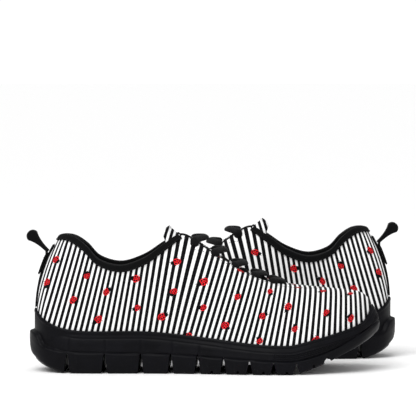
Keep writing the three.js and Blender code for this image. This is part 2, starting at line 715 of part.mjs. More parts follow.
// The origin is on the floor, under the middle of the pair.
const pair = new THREE.Group();
pair.add(right, left);
const middle = new THREE.Box3().setFromObject(pair, true).getCenter(vec(0, 0, 0));
right.position.sub(vec(middle.x, middle.y, 0));
left.position.sub(vec(middle.x, middle.y, 0));
export default pair;
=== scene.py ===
import math

import bmesh
import bpy
import numpy as np
from mathutils import Matrix, Vector


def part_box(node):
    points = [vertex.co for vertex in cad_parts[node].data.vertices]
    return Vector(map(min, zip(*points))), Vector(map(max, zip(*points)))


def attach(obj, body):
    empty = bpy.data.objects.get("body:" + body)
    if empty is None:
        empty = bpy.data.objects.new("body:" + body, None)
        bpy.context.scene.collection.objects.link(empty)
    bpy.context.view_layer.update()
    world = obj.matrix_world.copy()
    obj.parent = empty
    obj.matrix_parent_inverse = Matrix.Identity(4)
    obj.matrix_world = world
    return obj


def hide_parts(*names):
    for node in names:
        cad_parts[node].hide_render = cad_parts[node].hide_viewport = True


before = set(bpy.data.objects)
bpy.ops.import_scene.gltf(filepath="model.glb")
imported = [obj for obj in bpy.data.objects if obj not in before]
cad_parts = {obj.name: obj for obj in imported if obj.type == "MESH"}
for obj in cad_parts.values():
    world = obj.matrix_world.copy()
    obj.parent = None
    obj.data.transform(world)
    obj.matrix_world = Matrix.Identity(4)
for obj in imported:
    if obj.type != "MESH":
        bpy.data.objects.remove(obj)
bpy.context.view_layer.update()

mm = 0.001
print("frame loaded:", len(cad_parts), "nodes")

# Camera, lights and floor.
studio = {
    "target": (-0.0075, -0.064, 0.134),  # what the camera looks at, in metres
    "distance": 2.6,
    "elevation": 2.6,  # degrees above the floor
    "viewWidth": 0.3437,  # how much of the front shoe's plane fills the frame
    "floorColour": (0.985, 0.985, 0.985),
    "skyColour": (1, 1, 1, 1),
    "skyStrength": 0.5,  # as a light; the backdrop itself is a little over white
    "backdropStrength": 1.05,
    "sunStrength": 2.1,
    "sunSpread": 50,
    "sunAim": (0.35, 0.62, -1),
    "floorReach": 40.0,
    "lamps": {  # place, height aimed at, size and power
        "keyLight": ((-0.7, -1.3, 1.2), 0.05, 1.0, 5),
        "fillLight": ((1.3, -1.1, 0.8), 0.05, 1.2, 3),
        "rimLight": ((0.1, 1.3, 1.3), 0.06, 1.0, 4),
    },
}
scene = bpy.context.scene
scene.view_settings.view_transform = "Standard"


def linkObject(thing):
    scene.collection.objects.link(thing)
    return thing


def makeCamera():
    data = bpy.data.cameras.new("camera")
    data.sensor_width = 36
    data.lens = data.sensor_width * studio["distance"] / studio["viewWidth"]
    data.clip_end = 90
    camera = linkObject(bpy.data.objects.new("camera", data))
    lift = math.radians(studio["elevation"])
    back = Vector((0, -math.cos(lift), math.sin(lift)))
    camera.location = Vector(studio["target"]) + back * studio["distance"]
    camera.rotation_euler = (-back).to_track_quat("-Z", "Y").to_euler()
    scene.camera = camera


def makeLamp(name, kind, energy, aim, place=(0, 0, 0)):
    data = bpy.data.lights.new(name, kind)
    data.energy = energy
    lamp = linkObject(bpy.data.objects.new(name, data))
    lamp.location = place
    lamp.rotation_euler = Vector(aim).to_track_quat("-Z", "Y").to_euler()
    return data


makeCamera()
sun = makeLamp("skyLight", "SUN", studio["sunStrength"], studio["sunAim"])
sun.angle = math.radians(studio["sunSpread"])
for lampName, (lampPlace, aimHeight, lampSize, lampPower) in studio["lamps"].items():
    lampAim = Vector((0, 0, aimHeight)) - Vector(lampPlace)
    makeLamp(lampName, "AREA", lampPower, lampAim, lampPlace).size = lampSize

world = bpy.data.worlds.new("studioSky")
scene.world = world
world.use_nodes = True


# Small helpers for node trees.
def addNode(tree, kind, inputs=None, **settings):
    node = tree.nodes.new(kind)
    for name, value in settings.items():
        setattr(node, name, value)
    for key, value in (inputs or {}).items():
        socket = node.inputs[key]
        if isinstance(value, bpy.types.NodeSocket):
            tree.links.new(value, socket)
        else:
            socket.default_value = value
    return node


def calc(tree, operation, *values, clamp=False):
    given = dict(enumerate(values))
    return addNode(tree, "ShaderNodeMath", given, operation=operation, use_clamp=clamp).outputs[0]


def maths(operation):
    return lambda tree, *values, **settings: calc(tree, operation, *values, **settings)


add, subtract, multiply, divide = map(maths, ("ADD", "SUBTRACT", "MULTIPLY", "DIVIDE"))
largest, absolute, roundDown = map(maths, ("MAXIMUM", "ABSOLUTE", "FLOOR"))
sine, cosine = map(maths, ("SINE", "COSINE"))


def vectorCalc(tree, operation, *values):
    given = dict(enumerate(values))
    return addNode(tree, "ShaderNodeVectorMath", given, operation=operation).outputs["Vector"]


def splitParts(tree, vector):
    return addNode(tree, "ShaderNodeSeparateXYZ", {0: vector}).outputs


def makeSky():
    tree = world.node_tree
    light = tree.nodes["Background"]
    light.inputs["Color"].default_value = studio["skyColour"]
    light.inputs["Strength"].default_value = studio["skyStrength"]
    backdrop = addNode(tree, "ShaderNodeBackground", {"Color": studio["skyColour"],
                                                      "Strength": studio["backdropStrength"]})
    seen = addNode(tree, "ShaderNodeLightPath").outputs["Is Camera Ray"]
    mixed = addNode(tree, "ShaderNodeMixShader", {0: seen, 1: light.outputs[0], 2: backdrop.outputs[0]})
    tree.links.new(mixed.outputs[0], tree.nodes["World Output"].inputs[0])


makeSky()


def blendColour(tree, amount, first, second):
    first, second = [(*shade, 1) if isinstance(shade, tuple) else shade for shade in (first, second)]
    return addNode(tree, "ShaderNodeMix", {0: amount, 6: first, 7: second}, data_type="RGBA").outputs[2]


def spread(tree, value, low, high, toLow=0.0, toHigh=1.0):
    given = {0: value, 1: low, 2: high, 3: toLow, 4: toHigh}
    return addNode(tree, "ShaderNodeMapRange", given, interpolation_type="SMOOTHSTEP").outputs[0]


def noiseAt(tree, place, scale, detail, **more):
    given = {"Vector": place, "Scale": scale, "Detail": detail, **more}
    return addNode(tree, "ShaderNodeTexNoise", given).outputs[0]


def newGroup(name, inputs, outputs):
    group = bpy.data.node_groups.new(name, "ShaderNodeTree")
    for label, value in {"Place": (0, 0, 0), **inputs}.items():
        kind = "NodeSocketVector" if label == "Place" else "NodeSocketFloat"
        group.interface.new_socket(label, in_out="INPUT", socket_type=kind).default_value = value
    for label in outputs:
        group.interface.new_socket(label, in_out="OUTPUT", socket_type="NodeSocketFloat")
    start = group.nodes.new("NodeGroupInput")
    end = group.nodes.new("NodeGroupOutput")
    return group, start.outputs, end.inputs


# Shader groups: each puts out values and masks only.
def weaveGroup():
    group, given, out = newGroup("plainWeave", {"Pitch": 0.5}, ("Height", "Shade"))
    pitches = addNode(group, "ShaderNodeCombineXYZ", {axis: given["Pitch"] for axis in range(3)}).outputs[0]
    scaled = vectorCalc(group, "DIVIDE", given["Place"], pitches)
    parts = splitParts(group, scaled)
    warp = absolute(group, sine(group, multiply(group, parts[0], math.pi)))
    weft = absolute(group, sine(group, multiply(group, parts[1], math.pi)))
    column = roundDown(group, parts[0])
    row = roundDown(group, parts[1])
    over = calc(group, "FLOORED_MODULO", add(group, column, row), 2.0)
    height = addNode(group, "ShaderNodeMix", {0: over, 2: warp, 3: weft}).outputs[0]
    threads = noiseAt(group, scaled, 0.35, 3.0)
    group.links.new(height, out["Height"])
    group.links.new(spread(group, threads, 0.3, 0.7, 0.86, 1.0), out["Shade"])
    return group


def braidGroup():
    group, given, out = newGroup("braid", {"Pitch": 1.2}, ("Height",))
    parts = splitParts(group, given["Place"])
    turn = divide(group, math.pi, given["Pitch"])
    plus = multiply(group, add(group, parts[0], parts[1]), turn)
    minus = multiply(group, subtract(group, parts[0], parts[1]), turn)
    first = calc(group, "POWER", absolute(group, sine(group, plus)), 0.6)
    second = calc(group, "POWER", absolute(group, sine(group, minus)), 0.6)
    group.links.new(multiply(group, first, second), out["Height"])
    return group


def meshGroup():
    group, given, out = newGroup("airMesh", {"Pitch": 1.8}, ("Height", "Hole"))
    turn = divide(group, 2 * math.pi, given["Pitch"])
    parts = splitParts(group, given["Place"])
    x = multiply(group, parts[0], turn)
    y = multiply(group, parts[1], turn)
    slope = multiply(group, y, 0.866)
    half = multiply(group, x, 0.5)
    waves = [cosine(group, x), cosine(group, add(group, half, slope)),
             cosine(group, subtract(group, half, slope))]
    total = add(group, add(group, waves[0], waves[1]), waves[2])
    hole = spread(group, total, 0.6, 1.8)
    group.links.new(subtract(group, 1.0, hole), out["Height"])
    group.links.new(hole, out["Hole"])
    return group


def ribGroup():
    group, given, out = newGroup("ribbedTape", {"Along": 0.9, "Across": 0.6}, ("Height",))
    parts = splitParts(group, given["Place"])
    along = multiply(group, divide(group, parts[0], given["Along"]), math.pi)
    across = multiply(group, divide(group, parts[1], given["Across"]), math.pi)
    ribs = absolute(group, sine(group, along))
    rows = absolute(group, sine(group, add(group, across, multiply(group, ribs, 0.8))))
    group.links.new(add(group, multiply(group, ribs, 0.7), multiply(group, rows, 0.3)), out["Height"])
    return group


def grainGroup():
    group, given, out = newGroup("mouldedGrain", {"Fine": 1800.0, "Coarse": 45.0, "Wear Height": 0.012},
                                 ("Height", "Cloud", "Wear"))
    fine = noiseAt(group, given["Place"], given["Fine"], 2.0)
    coarse = noiseAt(group, given["Place"], given["Coarse"], 4.0)
    scuffs = noiseAt(group, given["Place"], 320.0, 5.0, Roughness=0.7)
    parts = splitParts(group, given["Place"])
    near = subtract(group, 1.0, divide(group, parts[2], given["Wear Height"], clamp=True), clamp=True)
    wear = multiply(group, near, spread(group, scuffs, 0.5, 0.68))
    group.links.new(fine, out["Height"])
    group.links.new(spread(group, coarse, 0.3, 0.7), out["Cloud"])
    group.links.new(wear, out["Wear"])
    return group


printForm = {
    "period": 4.75,  # one black and one white stripe, in millimetres
    "blackShare": 0.55,
    "cell": (26.0, 24.5),  # one ladybird to each
    "jitter": 9.0,
    "bodyLength": 3.3,  # half of a ladybird
    "bodyWidth": 2.9,
    "spots": ((0.85, 1.45, 0.78), (-0.95, 1.5, 0.74), (-2.2, 0.8, 0.5)),
    "legs": (1.3, -0.2, -1.7),
}


def ladybirdGroup():
    group, given, out = newGroup("ladybirds", {}, ("Red", "Black"))
    cellX, cellY = printForm["cell"]
    parts = splitParts(group, given["Place"])
    columnPlace = divide(group, parts[0], cellX)
    column = roundDown(group, columnPlace)
    shift = multiply(group, calc(group, "FLOORED_MODULO", column, 2.0), 0.5)
    rowPlace = add(group, divide(group, parts[1], cellY), shift)
    row = roundDown(group, rowPlace)
    cell = addNode(group, "ShaderNodeCombineXYZ", {0: column, 1: row, 2: 3.7}).outputs[0]
    chance = addNode(group, "ShaderNodeTexWhiteNoise", {"Vector": cell}, noise_dimensions="3D")
    dice = addNode(group, "ShaderNodeSeparateColor", {0: chance.outputs["Color"]})
    local = []
    for place, low, size, roll in ((columnPlace, column, cellX, 0), (rowPlace, row, cellY, 1)):
        within = multiply(group, subtract(group, subtract(group, place, low), 0.5), size)
        offset = multiply(group, subtract(group, dice.outputs[roll], 0.5), printForm["jitter"])
        local.append(subtract(group, within, offset))
    flat = addNode(group, "ShaderNodeCombineXYZ", {0: local[0], 1: local[1]}).outputs[0]
    angle = multiply(group, dice.outputs[2], 2 * math.pi)
    turned = addNode(group, "ShaderNodeVectorRotate", {"Vector": flat, "Angle": angle},
                     rotation_type="Z_AXIS").outputs[0]
    scaled = vectorCalc(group, "SCALE", turned)
    node = scaled.node
    group.links.new(spread(group, chance.outputs["Value"], 0.0, 1.0, 0.92, 1.18), node.inputs["Scale"])
    bug = splitParts(group, scaled)
    x, y = bug[0], absolute(group, bug[1])

    def inOval(centreX, centreY, radiusX, radiusY):
        dx = divide(group, subtract(group, x, centreX), radiusX)
        dy = divide(group, subtract(group, y, centreY), radiusY)
        away = add(group, multiply(group, dx, dx), multiply(group, dy, dy))
        return spread(group, away, 1.1, 0.9)

    def near(value, centre, reach):
        return calc(group, "COMPARE", value, centre, reach)

    body = inOval(0.0, 0.0, printForm["bodyLength"], printForm["bodyWidth"])
    marks = largest(group, near(y, 0.0, 0.2), calc(group, "GREATER_THAN", x, 2.0))
    for spotX, spotY, radius in printForm["spots"]:
        marks = largest(group, marks, inOval(spotX, spotY, radius, radius))
    red = multiply(group, body, subtract(group, 1.0, marks))
    black = multiply(group, body, marks)
    black = largest(group, black, inOval(3.2, 0.0, 1.45, 1.75))
    feeler = add(group, multiply(group, subtract(group, x, 4.0), 0.7), 0.5)
    feelers = multiply(group, near(subtract(group, y, feeler), 0.0, 0.24), near(x, 4.6, 0.9))
    black = largest(group, black, feelers)
    for legX in printForm["legs"]:
        leg = multiply(group, near(x, legX, 0.2), near(y, 2.9, 0.9))
        black = largest(group, black, multiply(group, leg, subtract(group, 1.0, body)))
    group.links.new(red, out["Red"])
    group.links.new(black, out["Black"])
    return group


groups = {
    "weave": weaveGroup(), "braid": braidGroup(), "mesh": meshGroup(),
    "ribs": ribGroup(), "grain": grainGroup(), "ladybirds": ladybirdGroup(),
}
uvName = "cloth"


# Materials.
def newMaterial(name, colour, roughness, **constants):
    material = bpy.data.materials.new(name)
    material.use_nodes = True
    tree = material.node_tree
    shader = tree.nodes["Principled BSDF"]
    shader.inputs["Base Color"].default_value = (*colour, 1)
    shader.inputs["Roughness"].default_value = roughness
    for label, value in constants.items():
        shader.inputs[label.replace("_", " ")].default_value = value
    return material, tree, shader


def clothPlace(tree):
    return addNode(tree, "ShaderNodeUVMap", uv_map=uvName).outputs[0]


def objectPlace(tree):
    return addNode(tree, "ShaderNodeTexCoord").outputs["Object"]


def useGroup(tree, name, **values):
    node = tree.nodes.new("ShaderNodeGroup")
    node.node_tree = groups[name]
    for label, value in values.items():
        socket = node.inputs[label.replace("_", " ")]
        if isinstance(value, bpy.types.NodeSocket):
            tree.links.new(value, socket)
        else:
            socket.default_value = value
    return node.outputs


def setBump(tree, shader, height, strength, distance):
    bump = addNode(tree, "ShaderNodeBump", {"Height": height, "Strength": strength, "Distance": distance})
    tree.links.new(bump.outputs[0], shader.inputs["Normal"])


def printedFabric():
    material, tree, shader = newMaterial("printedFabric", (0.8, 0.8, 0.8), 0.85, Sheen_Weight=0.01,
                                         Specular_IOR_Level=0.06)
    place = clothPlace(tree)
    weave = useGroup(tree, "weave", Place=place, Pitch=0.42)
    bugs = useGroup(tree, "ladybirds", Place=place)
    parts = splitParts(tree, place)
    wander = noiseAt(tree, place, 2.5, 1.0)
    ink = add(tree, parts[0], multiply(tree, wander, 0.12))
    phase = calc(tree, "FRACT", divide(tree, ink, printForm["period"]))
    distance = absolute(tree, subtract(tree, phase, 0.5))
    edge = printForm["blackShare"] / 2
    stripe = spread(tree, distance, edge + 0.015, edge - 0.015)
    white = blendColour(tree, weave["Shade"], (0.72, 0.72, 0.73), (0.9, 0.9, 0.9))
    # Black ink is lighter on raised threads and darker in the weave's valleys: painted shade from the
    # weave's relief.
    black = blendColour(tree, weave["Height"], (0.0015, 0.0015, 0.002), (0.005, 0.005, 0.006))
    ground = blendColour(tree, stripe, white, black)
    red = blendColour(tree, weave["Shade"], (0.55, 0.004, 0.010), (0.80, 0.014, 0.022))
    inked = blendColour(tree, bugs["Black"], ground, (0.003, 0.003, 0.0035))
    tree.links.new(blendColour(tree, bugs["Red"], inked, red), shader.inputs["Base Color"])
    setBump(tree, shader, weave["Height"], 0.35, 0.00012)
    return material


def meshFabric(name, colour, pitch):
    material, tree, shader = newMaterial(name, colour, 0.85, Sheen_Weight=0.02, Specular_IOR_Level=0.1)
    place = clothPlace(tree)
    mesh = useGroup(tree, "mesh", Place=place, Pitch=pitch)
    weave = useGroup(tree, "weave", Place=place, Pitch=0.35)
    # The mesh holes are painted darker: painted shade inside the holes.
    dark = tuple(value * 0.25 for value in colour)
    shade = blendColour(tree, mesh["Hole"], colour, dark)
    tree.links.new(shade, shader.inputs["Base Color"])
    height = add(tree, mesh["Height"], multiply(tree, weave["Height"], 0.25))
    setBump(tree, shader, height, 0.8, 0.0003)
    return material


def ribbedCloth(name, colour, along, across, depth):
    material, tree, shader = newMaterial(name, colour, 0.78, Sheen_Weight=0.01, Specular_IOR_Level=0.07)
    place = clothPlace(tree)
    ribs = useGroup(tree, "ribs", Place=place, Along=along, Across=across)
    fuzz = noiseAt(tree, place, 1.4, 4.0)
    cloudy = spread(tree, fuzz, 0.3, 0.7, 0.6, 1.3)
    # Rib height makes crests lighter and grooves darker: painted shade between the ribs, multiplied with the
    # fuzz noise's real tone variation.
    shaded = spread(tree, ribs["Height"], 0.1, 0.9, 0.55, 1.15)
    shade = multiply(tree, cloudy, shaded)
    light = tuple(value * 1.5 for value in colour)
    tree.links.new(blendColour(tree, multiply(tree, shade, 0.6, clamp=True), (0.002, 0.002, 0.002), light),
                   shader.inputs["Base Color"])
    tree.links.new(spread(tree, fuzz, 0.3, 0.7, 0.7, 0.88), shader.inputs["Roughness"])
    setBump(tree, shader, ribs["Height"], 0.8, depth)
    return material


def laceBraid():
    material, tree, shader = newMaterial("laceBraid", (0.004, 0.004, 0.005), 0.7, Sheen_Weight=0.01,
                                         Specular_IOR_Level=0.1)
    place = clothPlace(tree)
    braid = useGroup(tree, "braid", Place=place, Pitch=1.25)
    threads = useGroup(tree, "braid", Place=place, Pitch=0.32)
    # Braid crests are lighter and valleys darker: painted shade in the braid's valleys.
    shade = blendColour(tree, braid["Height"], (0.001, 0.001, 0.0011), (0.007, 0.007, 0.0078))
    tree.links.new(shade, shader.inputs["Base Color"])
    setBump(tree, shader, add(tree, braid["Height"], multiply(tree, threads["Height"], 0.25)), 0.9, 0.0003)
    return material


def mouldedFoam(name, colour, roughness, fine, wearColour, wearHeight):
    material, tree, shader = newMaterial(name, colour, roughness, Specular_IOR_Level=0.085)
    grain = useGroup(tree, "grain", Place=objectPlace(tree), Fine=fine, Coarse=55.0, Wear_Height=wearHeight)
    dark = tuple(value * 0.7 for value in colour)
    light = tuple(value * 1.3 for value in colour)
    cloud = blendColour(tree, grain["Cloud"], dark, light)
    tree.links.new(blendColour(tree, grain["Wear"], cloud, wearColour), shader.inputs["Base Color"])
    rough = add(tree, spread(tree, grain["Cloud"], 0.0, 1.0, roughness - 0.07, roughness + 0.07),
                 multiply(tree, grain["Wear"], 0.2))
    tree.links.new(rough, shader.inputs["Roughness"])
    setBump(tree, shader, grain["Height"], 0.25, 0.00015)
    return material


def openFoam():
    material, tree, shader = newMaterial("openFoam", (0.05, 0.05, 0.055), 0.95, Specular_IOR_Level=0.2)
    cells = addNode(tree, "ShaderNodeTexVoronoi", {"Vector": objectPlace(tree), "Scale": 1400.0})
    # The pores are painted darker towards their centres, following the bump's pits: painted shade in the
    # pores.
    depth = spread(tree, cells.outputs[0], 0.0, 0.6)
    colour = blendColour(tree, depth, (0.02, 0.02, 0.022), (0.075, 0.075, 0.08))
    tree.links.new(colour, shader.inputs["Base Color"])
    setBump(tree, shader, cells.outputs[0], 0.8, 0.0003)
    return material


def feltBoard(name, colour, scale):
    material, tree, shader = newMaterial(name, colour, 0.92, Specular_IOR_Level=0.2)
    place = objectPlace(tree)
    stretch = vectorCalc(tree, "MULTIPLY", place, (1.0, 0.35, 1.0))
    fibres = noiseAt(tree, stretch, scale, 6.0, Distortion=1.5)
    dark = tuple(value * 0.75 for value in colour)
    tree.links.new(blendColour(tree, spread(tree, fibres, 0.35, 0.65), dark, colour),
                   shader.inputs["Base Color"])
    setBump(tree, shader, fibres, 0.5, 0.0002)
    return material


def stitchThread(name, colour):
    material, tree, shader = newMaterial(name, colour, 0.6, Sheen_Weight=0.02, Specular_IOR_Level=0.15)
    given = {"Vector": objectPlace(tree), "Scale": 900.0, "Distortion": 1.0}
    twist = addNode(tree, "ShaderNodeTexWave", given, bands_direction="DIAGONAL")
    # Twist bands follow the bump's relief: painted shade in the grooves between the thread's plies.
    dark = tuple(value * 0.5 for value in colour)
    tree.links.new(blendColour(tree, twist.outputs[1], dark, colour), shader.inputs["Base Color"])
    setBump(tree, shader, twist.outputs[1], 0.5, 0.0001)
    return material


def paleFloor():
    return newMaterial("paleFloor", studio["floorColour"], 0.9)[0]


finishes = {
    "print": printedFabric(),
    "liningMesh": meshFabric("liningMesh", (0.009, 0.009, 0.010), 1.9),
    "sockliner": meshFabric("sockliner", (0.016, 0.016, 0.018), 1.1),
    "binding": ribbedCloth("knitBinding", (0.0024, 0.0024, 0.0027), 0.7, 0.9, 0.0002),
    "webbing": ribbedCloth("blackWebbing", (0.003, 0.003, 0.0034), 1.3, 0.55, 0.0003),
    "stay": ribbedCloth("stayCloth", (0.010, 0.010, 0.011), 0.5, 0.5, 0.0001),
    "lace": laceBraid(),
    "foam": mouldedFoam("soleFoam", (0.0022, 0.0022, 0.0034), 0.5, 2200.0, (0.008, 0.008, 0.008), 0.004),
    "rubber": mouldedFoam("soleRubber", (0.004, 0.004, 0.0052), 0.5, 1500.0, (0.02, 0.0195, 0.018), 0.003),
    "padding": openFoam(),
    "board": feltBoard("lastingBoard", (0.68, 0.65, 0.58), 420.0),
    "stiffener": feltBoard("stiffener", (0.26, 0.25, 0.22), 800.0),
    "thread": stitchThread("blackThread", (0.010, 0.010, 0.0115)),
}


def makeFloor():
    mesh = bpy.data.meshes.new("floor")
    reach = studio["floorReach"]
    corners = [(-reach, -reach, 0), (reach, -reach, 0), (reach, reach, 0), (-reach, reach, 0)]
    mesh.from_pydata(corners, [], [(0, 1, 2, 3)])
    floor = linkObject(bpy.data.objects.new("floor", mesh))
    mesh.materials.append(paleFloor())


makeFloor()
print("studio and materials made")

# Lines that shape one shoe, in millimetres: X from heel to toe, Y across, Z up.
form = {
    "length": 290, "ball": 101, "waist": 69, "heel": 73,
    "heelTop": 111.5, "ankle": 87.2, "instep": 112.4, "throat": 71.4,
    "throatWidth": 30, "collarWidth": 64, "toeSwing": 8,
    "heelFoam": 24, "archFoam": 22, "ballFoam": 15, "toeFoam": 8,
    "toeSpring": 31.5, "heelBevel": 14, "rimInset": 7, "rimWall": 1.1, "belly": 3.5,
}
length = form["length"]
columns = 18  # even steps from heel to toe that the pieces' ends are given in


def mix(first, second, share):
    return first + (second - first) * share


def smoothStep(low, high, value):
    k = np.clip((np.asarray(value, float) - low) / (high - low), 0, 1)
    return k * k * (3 - 2 * k)


def throughPoints(points):
    places, values = np.array(points, float).T
    last = len(places) - 1
    order = np.arange(last + 1)
    before, after = np.maximum(order - 1, 0), np.minimum(order + 1, last)
    slopes = (values[after] - values[before]) / (places[after] - places[before])

    def at(place):
        x = np.clip(np.asarray(place, float), places[0], places[-1])
        i = np.clip(np.searchsorted(places, x) - 1, 0, last - 1)
        step = places[i + 1] - places[i]
        k = (x - places[i]) / step
        k2, k3 = k * k, k * k * k
        return ((2 * k3 - 3 * k2 + 1) * values[i] + (k3 - 2 * k2 + k) * step * slopes[i]
                + (3 * k2 - 2 * k3) * values[i + 1] + (k3 - k2) * step * slopes[i + 1])
    return at


def smoothThrough(stops, places):
    i = np.clip(np.floor(places).astype(int), 0, len(stops) - 4)
    k = (places - i)[..., None]
    a, b, c, d = stops[i], stops[i + 1], stops[i + 2], stops[i + 3]
    return 0.5 * (2 * b + (c - a) * k + (2 * a - 5 * b + 4 * c - d) * k ** 2
                  + (3 * b - a - 3 * c + d) * k ** 3)


mirrorY = np.array([1.0, -1.0, 1.0])


def halfLoop(points):
    stops = np.array(points, float)
    stops = np.vstack([stops[1] * mirrorY, stops, stops[-2] * mirrorY])

    def at(share):
        return smoothThrough(stops, np.clip(np.asarray(share, float), 0, 1) * (len(stops) - 3))
    return at


def groundAt(x):
    x = np.asarray(x, float)
    springStart, bevelEnd = 0.741 * length, 0.12 * length
    spring = form["toeSpring"] * (np.maximum(x - springStart, 0) / (length - springStart)) ** 1.35
    bevel = form["heelBevel"] * np.maximum(1 - x / bevelEnd, 0) ** 2
    return spring + bevel


foamUnder = throughPoints([(0, form["heelFoam"]), (0.3, mix(form["heelFoam"], form["archFoam"], 0.8)),
    (0.5, form["archFoam"] - 2), (0.68, form["ballFoam"]), (0.8, form["ballFoam"] - 2),
    (0.9, form["toeFoam"] + 2), (1, form["toeFoam"])])


def footbedAt(x):
    x = np.asarray(x, float)
    return foamUnder(x / length) + np.where(x > length / 2, groundAt(x), 0)


biteRise = throughPoints([(0.024, 27.5), (0.045, 20.5), (0.09, 14), (0.16, 11.5), (0.33, 12.5), (0.5, 10),
    (0.62, 9), (0.72, 9.5), (0.78, 10.5), (0.87, 10), (0.93, 9), (0.955, 10.5), (0.976, 17.5)])


def biteAt(x):
    return footbedAt(x) + biteRise(np.asarray(x) / length)


def soleWidths():
    heel, waist, ball = form["heel"], form["waist"], form["ball"]
    spots = [(0, 0), (0.012, 0.42 * heel), (0.048, 0.76 * heel), (0.118, 0.97 * heel), (0.2, heel),
             (0.283, mix(heel, waist, 0.5)), (0.362, waist), (0.441, mix(waist, ball, 0.1)),
             (0.524, mix(waist, ball, 0.38)), (0.614, mix(waist, ball, 0.76)), (0.71, ball),
             (0.804, 0.96 * ball), (0.892, 0.8 * ball), (0.96, 0.53 * ball), (1, 0)]
    return [(share * length, width / 2, 0) for share, width in spots]


def topEdgeSpots():
    ankle, instep, throat = form["ankle"], form["instep"], form["throat"]
    collar, gap = form["collarWidth"] / 2, form["throatWidth"] / 2
    heelRise = [mix(ankle, form["heelTop"], k) for k in (0.97, 1, 0.93, 0.66, 0.2, 0)]
    instepRise = [mix(ankle, instep, k) for k in (0.24, 0.7, 1)]
    throatFall = [mix(throat, instep, k) for k in (0.71, 0.37, 0.14, 0.04, 0.01, 0)]
    shares = (0.087, 0.104, 0.13, 0.162, 0.2, 0.262, 0.328, 0.386, 0.438,
              0.507, 0.579, 0.645, 0.7, 0.726, 0.731)
    halves = [k * collar for k in (0, 0.29, 0.54, 0.74, 0.9, 1, 0.96, 0.78)] + [gap + 1.5]
    halves += [k * gap for k in (1, 0.94, 0.8, 0.56, 0.27, 0)]
    return [(s * length, h, z) for s, h, z in zip(shares, halves, heelRise + instepRise + throatFall)]


soleHalf = halfLoop(soleWidths())
topHalf = halfLoop(topEdgeSpots())
centreLine = throughPoints([(0, 0), (0.2, -0.5), (0.42, -3.5), (0.6, -2), (0.8, 1.5),
                            (1, form["toeSwing"])])
lowerReach = throughPoints([(0, 0.42), (0.3, 0.42), (0.6, 0.5), (0.8, 0.72), (0.92, 1.02), (1, 1.15)])
upperReach = throughPoints([(0, 0.85), (0.3, 0.7), (0.55, 0.75), (0.8, 0.66), (1, 0.75)])
upperDrop = throughPoints([(0, 0.3), (0.4, 0.28), (0.55, 0.16), (0.8, 0.12), (1, 0.27)])


def throatFall(share):
    return mix(form["throat"], form["instep"], share)


def centreAt(x):
    return centreLine(np.asarray(x) / length)


# The sole's outline moved in by inset. around: 0 heel, 1 or -1 toe, negative on the foot's inner side.
def solePoint(around, inset):
    around = np.asarray(around, float)
    share, side = np.abs(around), np.where(around < 0, 1.0, -1.0)
    nudge = 0.004
    at = soleHalf(share)
    over, under = share + nudge > 1, share < nudge
    ahead, behind = [soleHalf(np.where(past, folded, plain)) * np.where(past[..., None], mirrorY, 1)
                     for past, folded, plain in ((over, 2 - share - nudge, share + nudge),
                                                 (under, nudge - share, share - nudge))]
    along = ahead - behind
    along /= np.linalg.norm(along, axis=-1, keepdims=True)
    x = at[..., 0] + inset * along[..., 1]
    half = at[..., 1] - inset * along[..., 0]
    return np.stack([x, centreAt(at[..., 0]) + side * half, np.zeros_like(x)], -1)


# The outer surface of the upper. up: 0 at the sole, 1 at the top edge.
def skin(around, up):
    around, up = np.broadcast_arrays(np.asarray(around, float), np.asarray(up, float))
    share, side = np.abs(around), np.where(around < 0, 1.0, -1.0)
    low = solePoint(around, form["rimInset"])
    low[..., 2] = footbedAt(low[..., 0])
    edge = topHalf(share)
    high = np.stack([edge[..., 0], centreAt(edge[..., 0]) + side * edge[..., 1], edge[..., 2]], -1)
    outward = solePoint(around, form["rimInset"] - 1) - solePoint(around, form["rimInset"])
    rise = high[..., 2] - low[..., 2]
    lowHandle = low + outward * form["belly"]
    lowHandle[..., 2] += lowerReach(share) * rise
    across = (low - high) * np.array([1.0, 1.0, 0.0])
    highHandle = high + across * upperReach(share)[..., None] + outward * form["belly"] * 0.6
    highHandle[..., 2] -= upperDrop(share) * rise
    k = up[..., None]
    return ((1 - k) ** 3 * low + 3 * (1 - k) ** 2 * k * lowHandle
            + 3 * (1 - k) * k ** 2 * highHandle + k ** 3 * high)


def wrapAround(around):
    return np.where(around > 1, around - 2, np.where(around < -1, around + 2, around))


def unit(vectors):
    return vectors / np.maximum(np.linalg.norm(vectors, axis=-1, keepdims=True), 1e-9)


# How far along a line of points each one lies.
def runAlong(points):
    return np.concatenate([[0], np.cumsum(np.linalg.norm(np.diff(points, axis=0), axis=1))])


def crossed(first, second):
    return np.stack(np.broadcast_arrays(first, second), -1)


def skinNormal(around, up):
    around, up = np.broadcast_arrays(np.asarray(around, float), np.asarray(up, float))
    step = 0.004
    along = skin(wrapAround(around + step), up) - skin(wrapAround(around - step), up)
    rising = skin(around, np.minimum(up + step, 1)) - skin(around, np.maximum(up - step, 0))
    normal = np.cross(along, rising)
    onAxis = (np.abs(around) < 1e-6) | (np.abs(around) > 1 - 1e-6)
    normal[..., 1] = np.where(onAxis, 0, normal[..., 1])
    return unit(normal)


def inward(around, up, depth):
    around, up = np.broadcast_arrays(np.asarray(around, float), np.asarray(up, float))
    return skin(around, up) - skinNormal(around, up) * np.asarray(depth, float)[..., None]


# Where the cloth's print lies: stripes across U, length over the shoe along V.
leanAt = throughPoints([(0, 18), (45, 14), (85, 9), (110, 11), (135, 16), (174, 16), (193, 13), (215, 8),
                        (234, 5), (256, 0), (280, -8)])


printLay = {
    "first": 6.0, "last": 288.0, "step": 1.5,  # stations along the shoe where its girth is measured
    "heelEnd": 34.0,  # behind this the print keeps one girth
    "heelShare": 0.11, "heelEase": 0.6,  # round the heel the stripes widen
    "pivot": 30,  # height at which a leaning stripe keeps its place
}


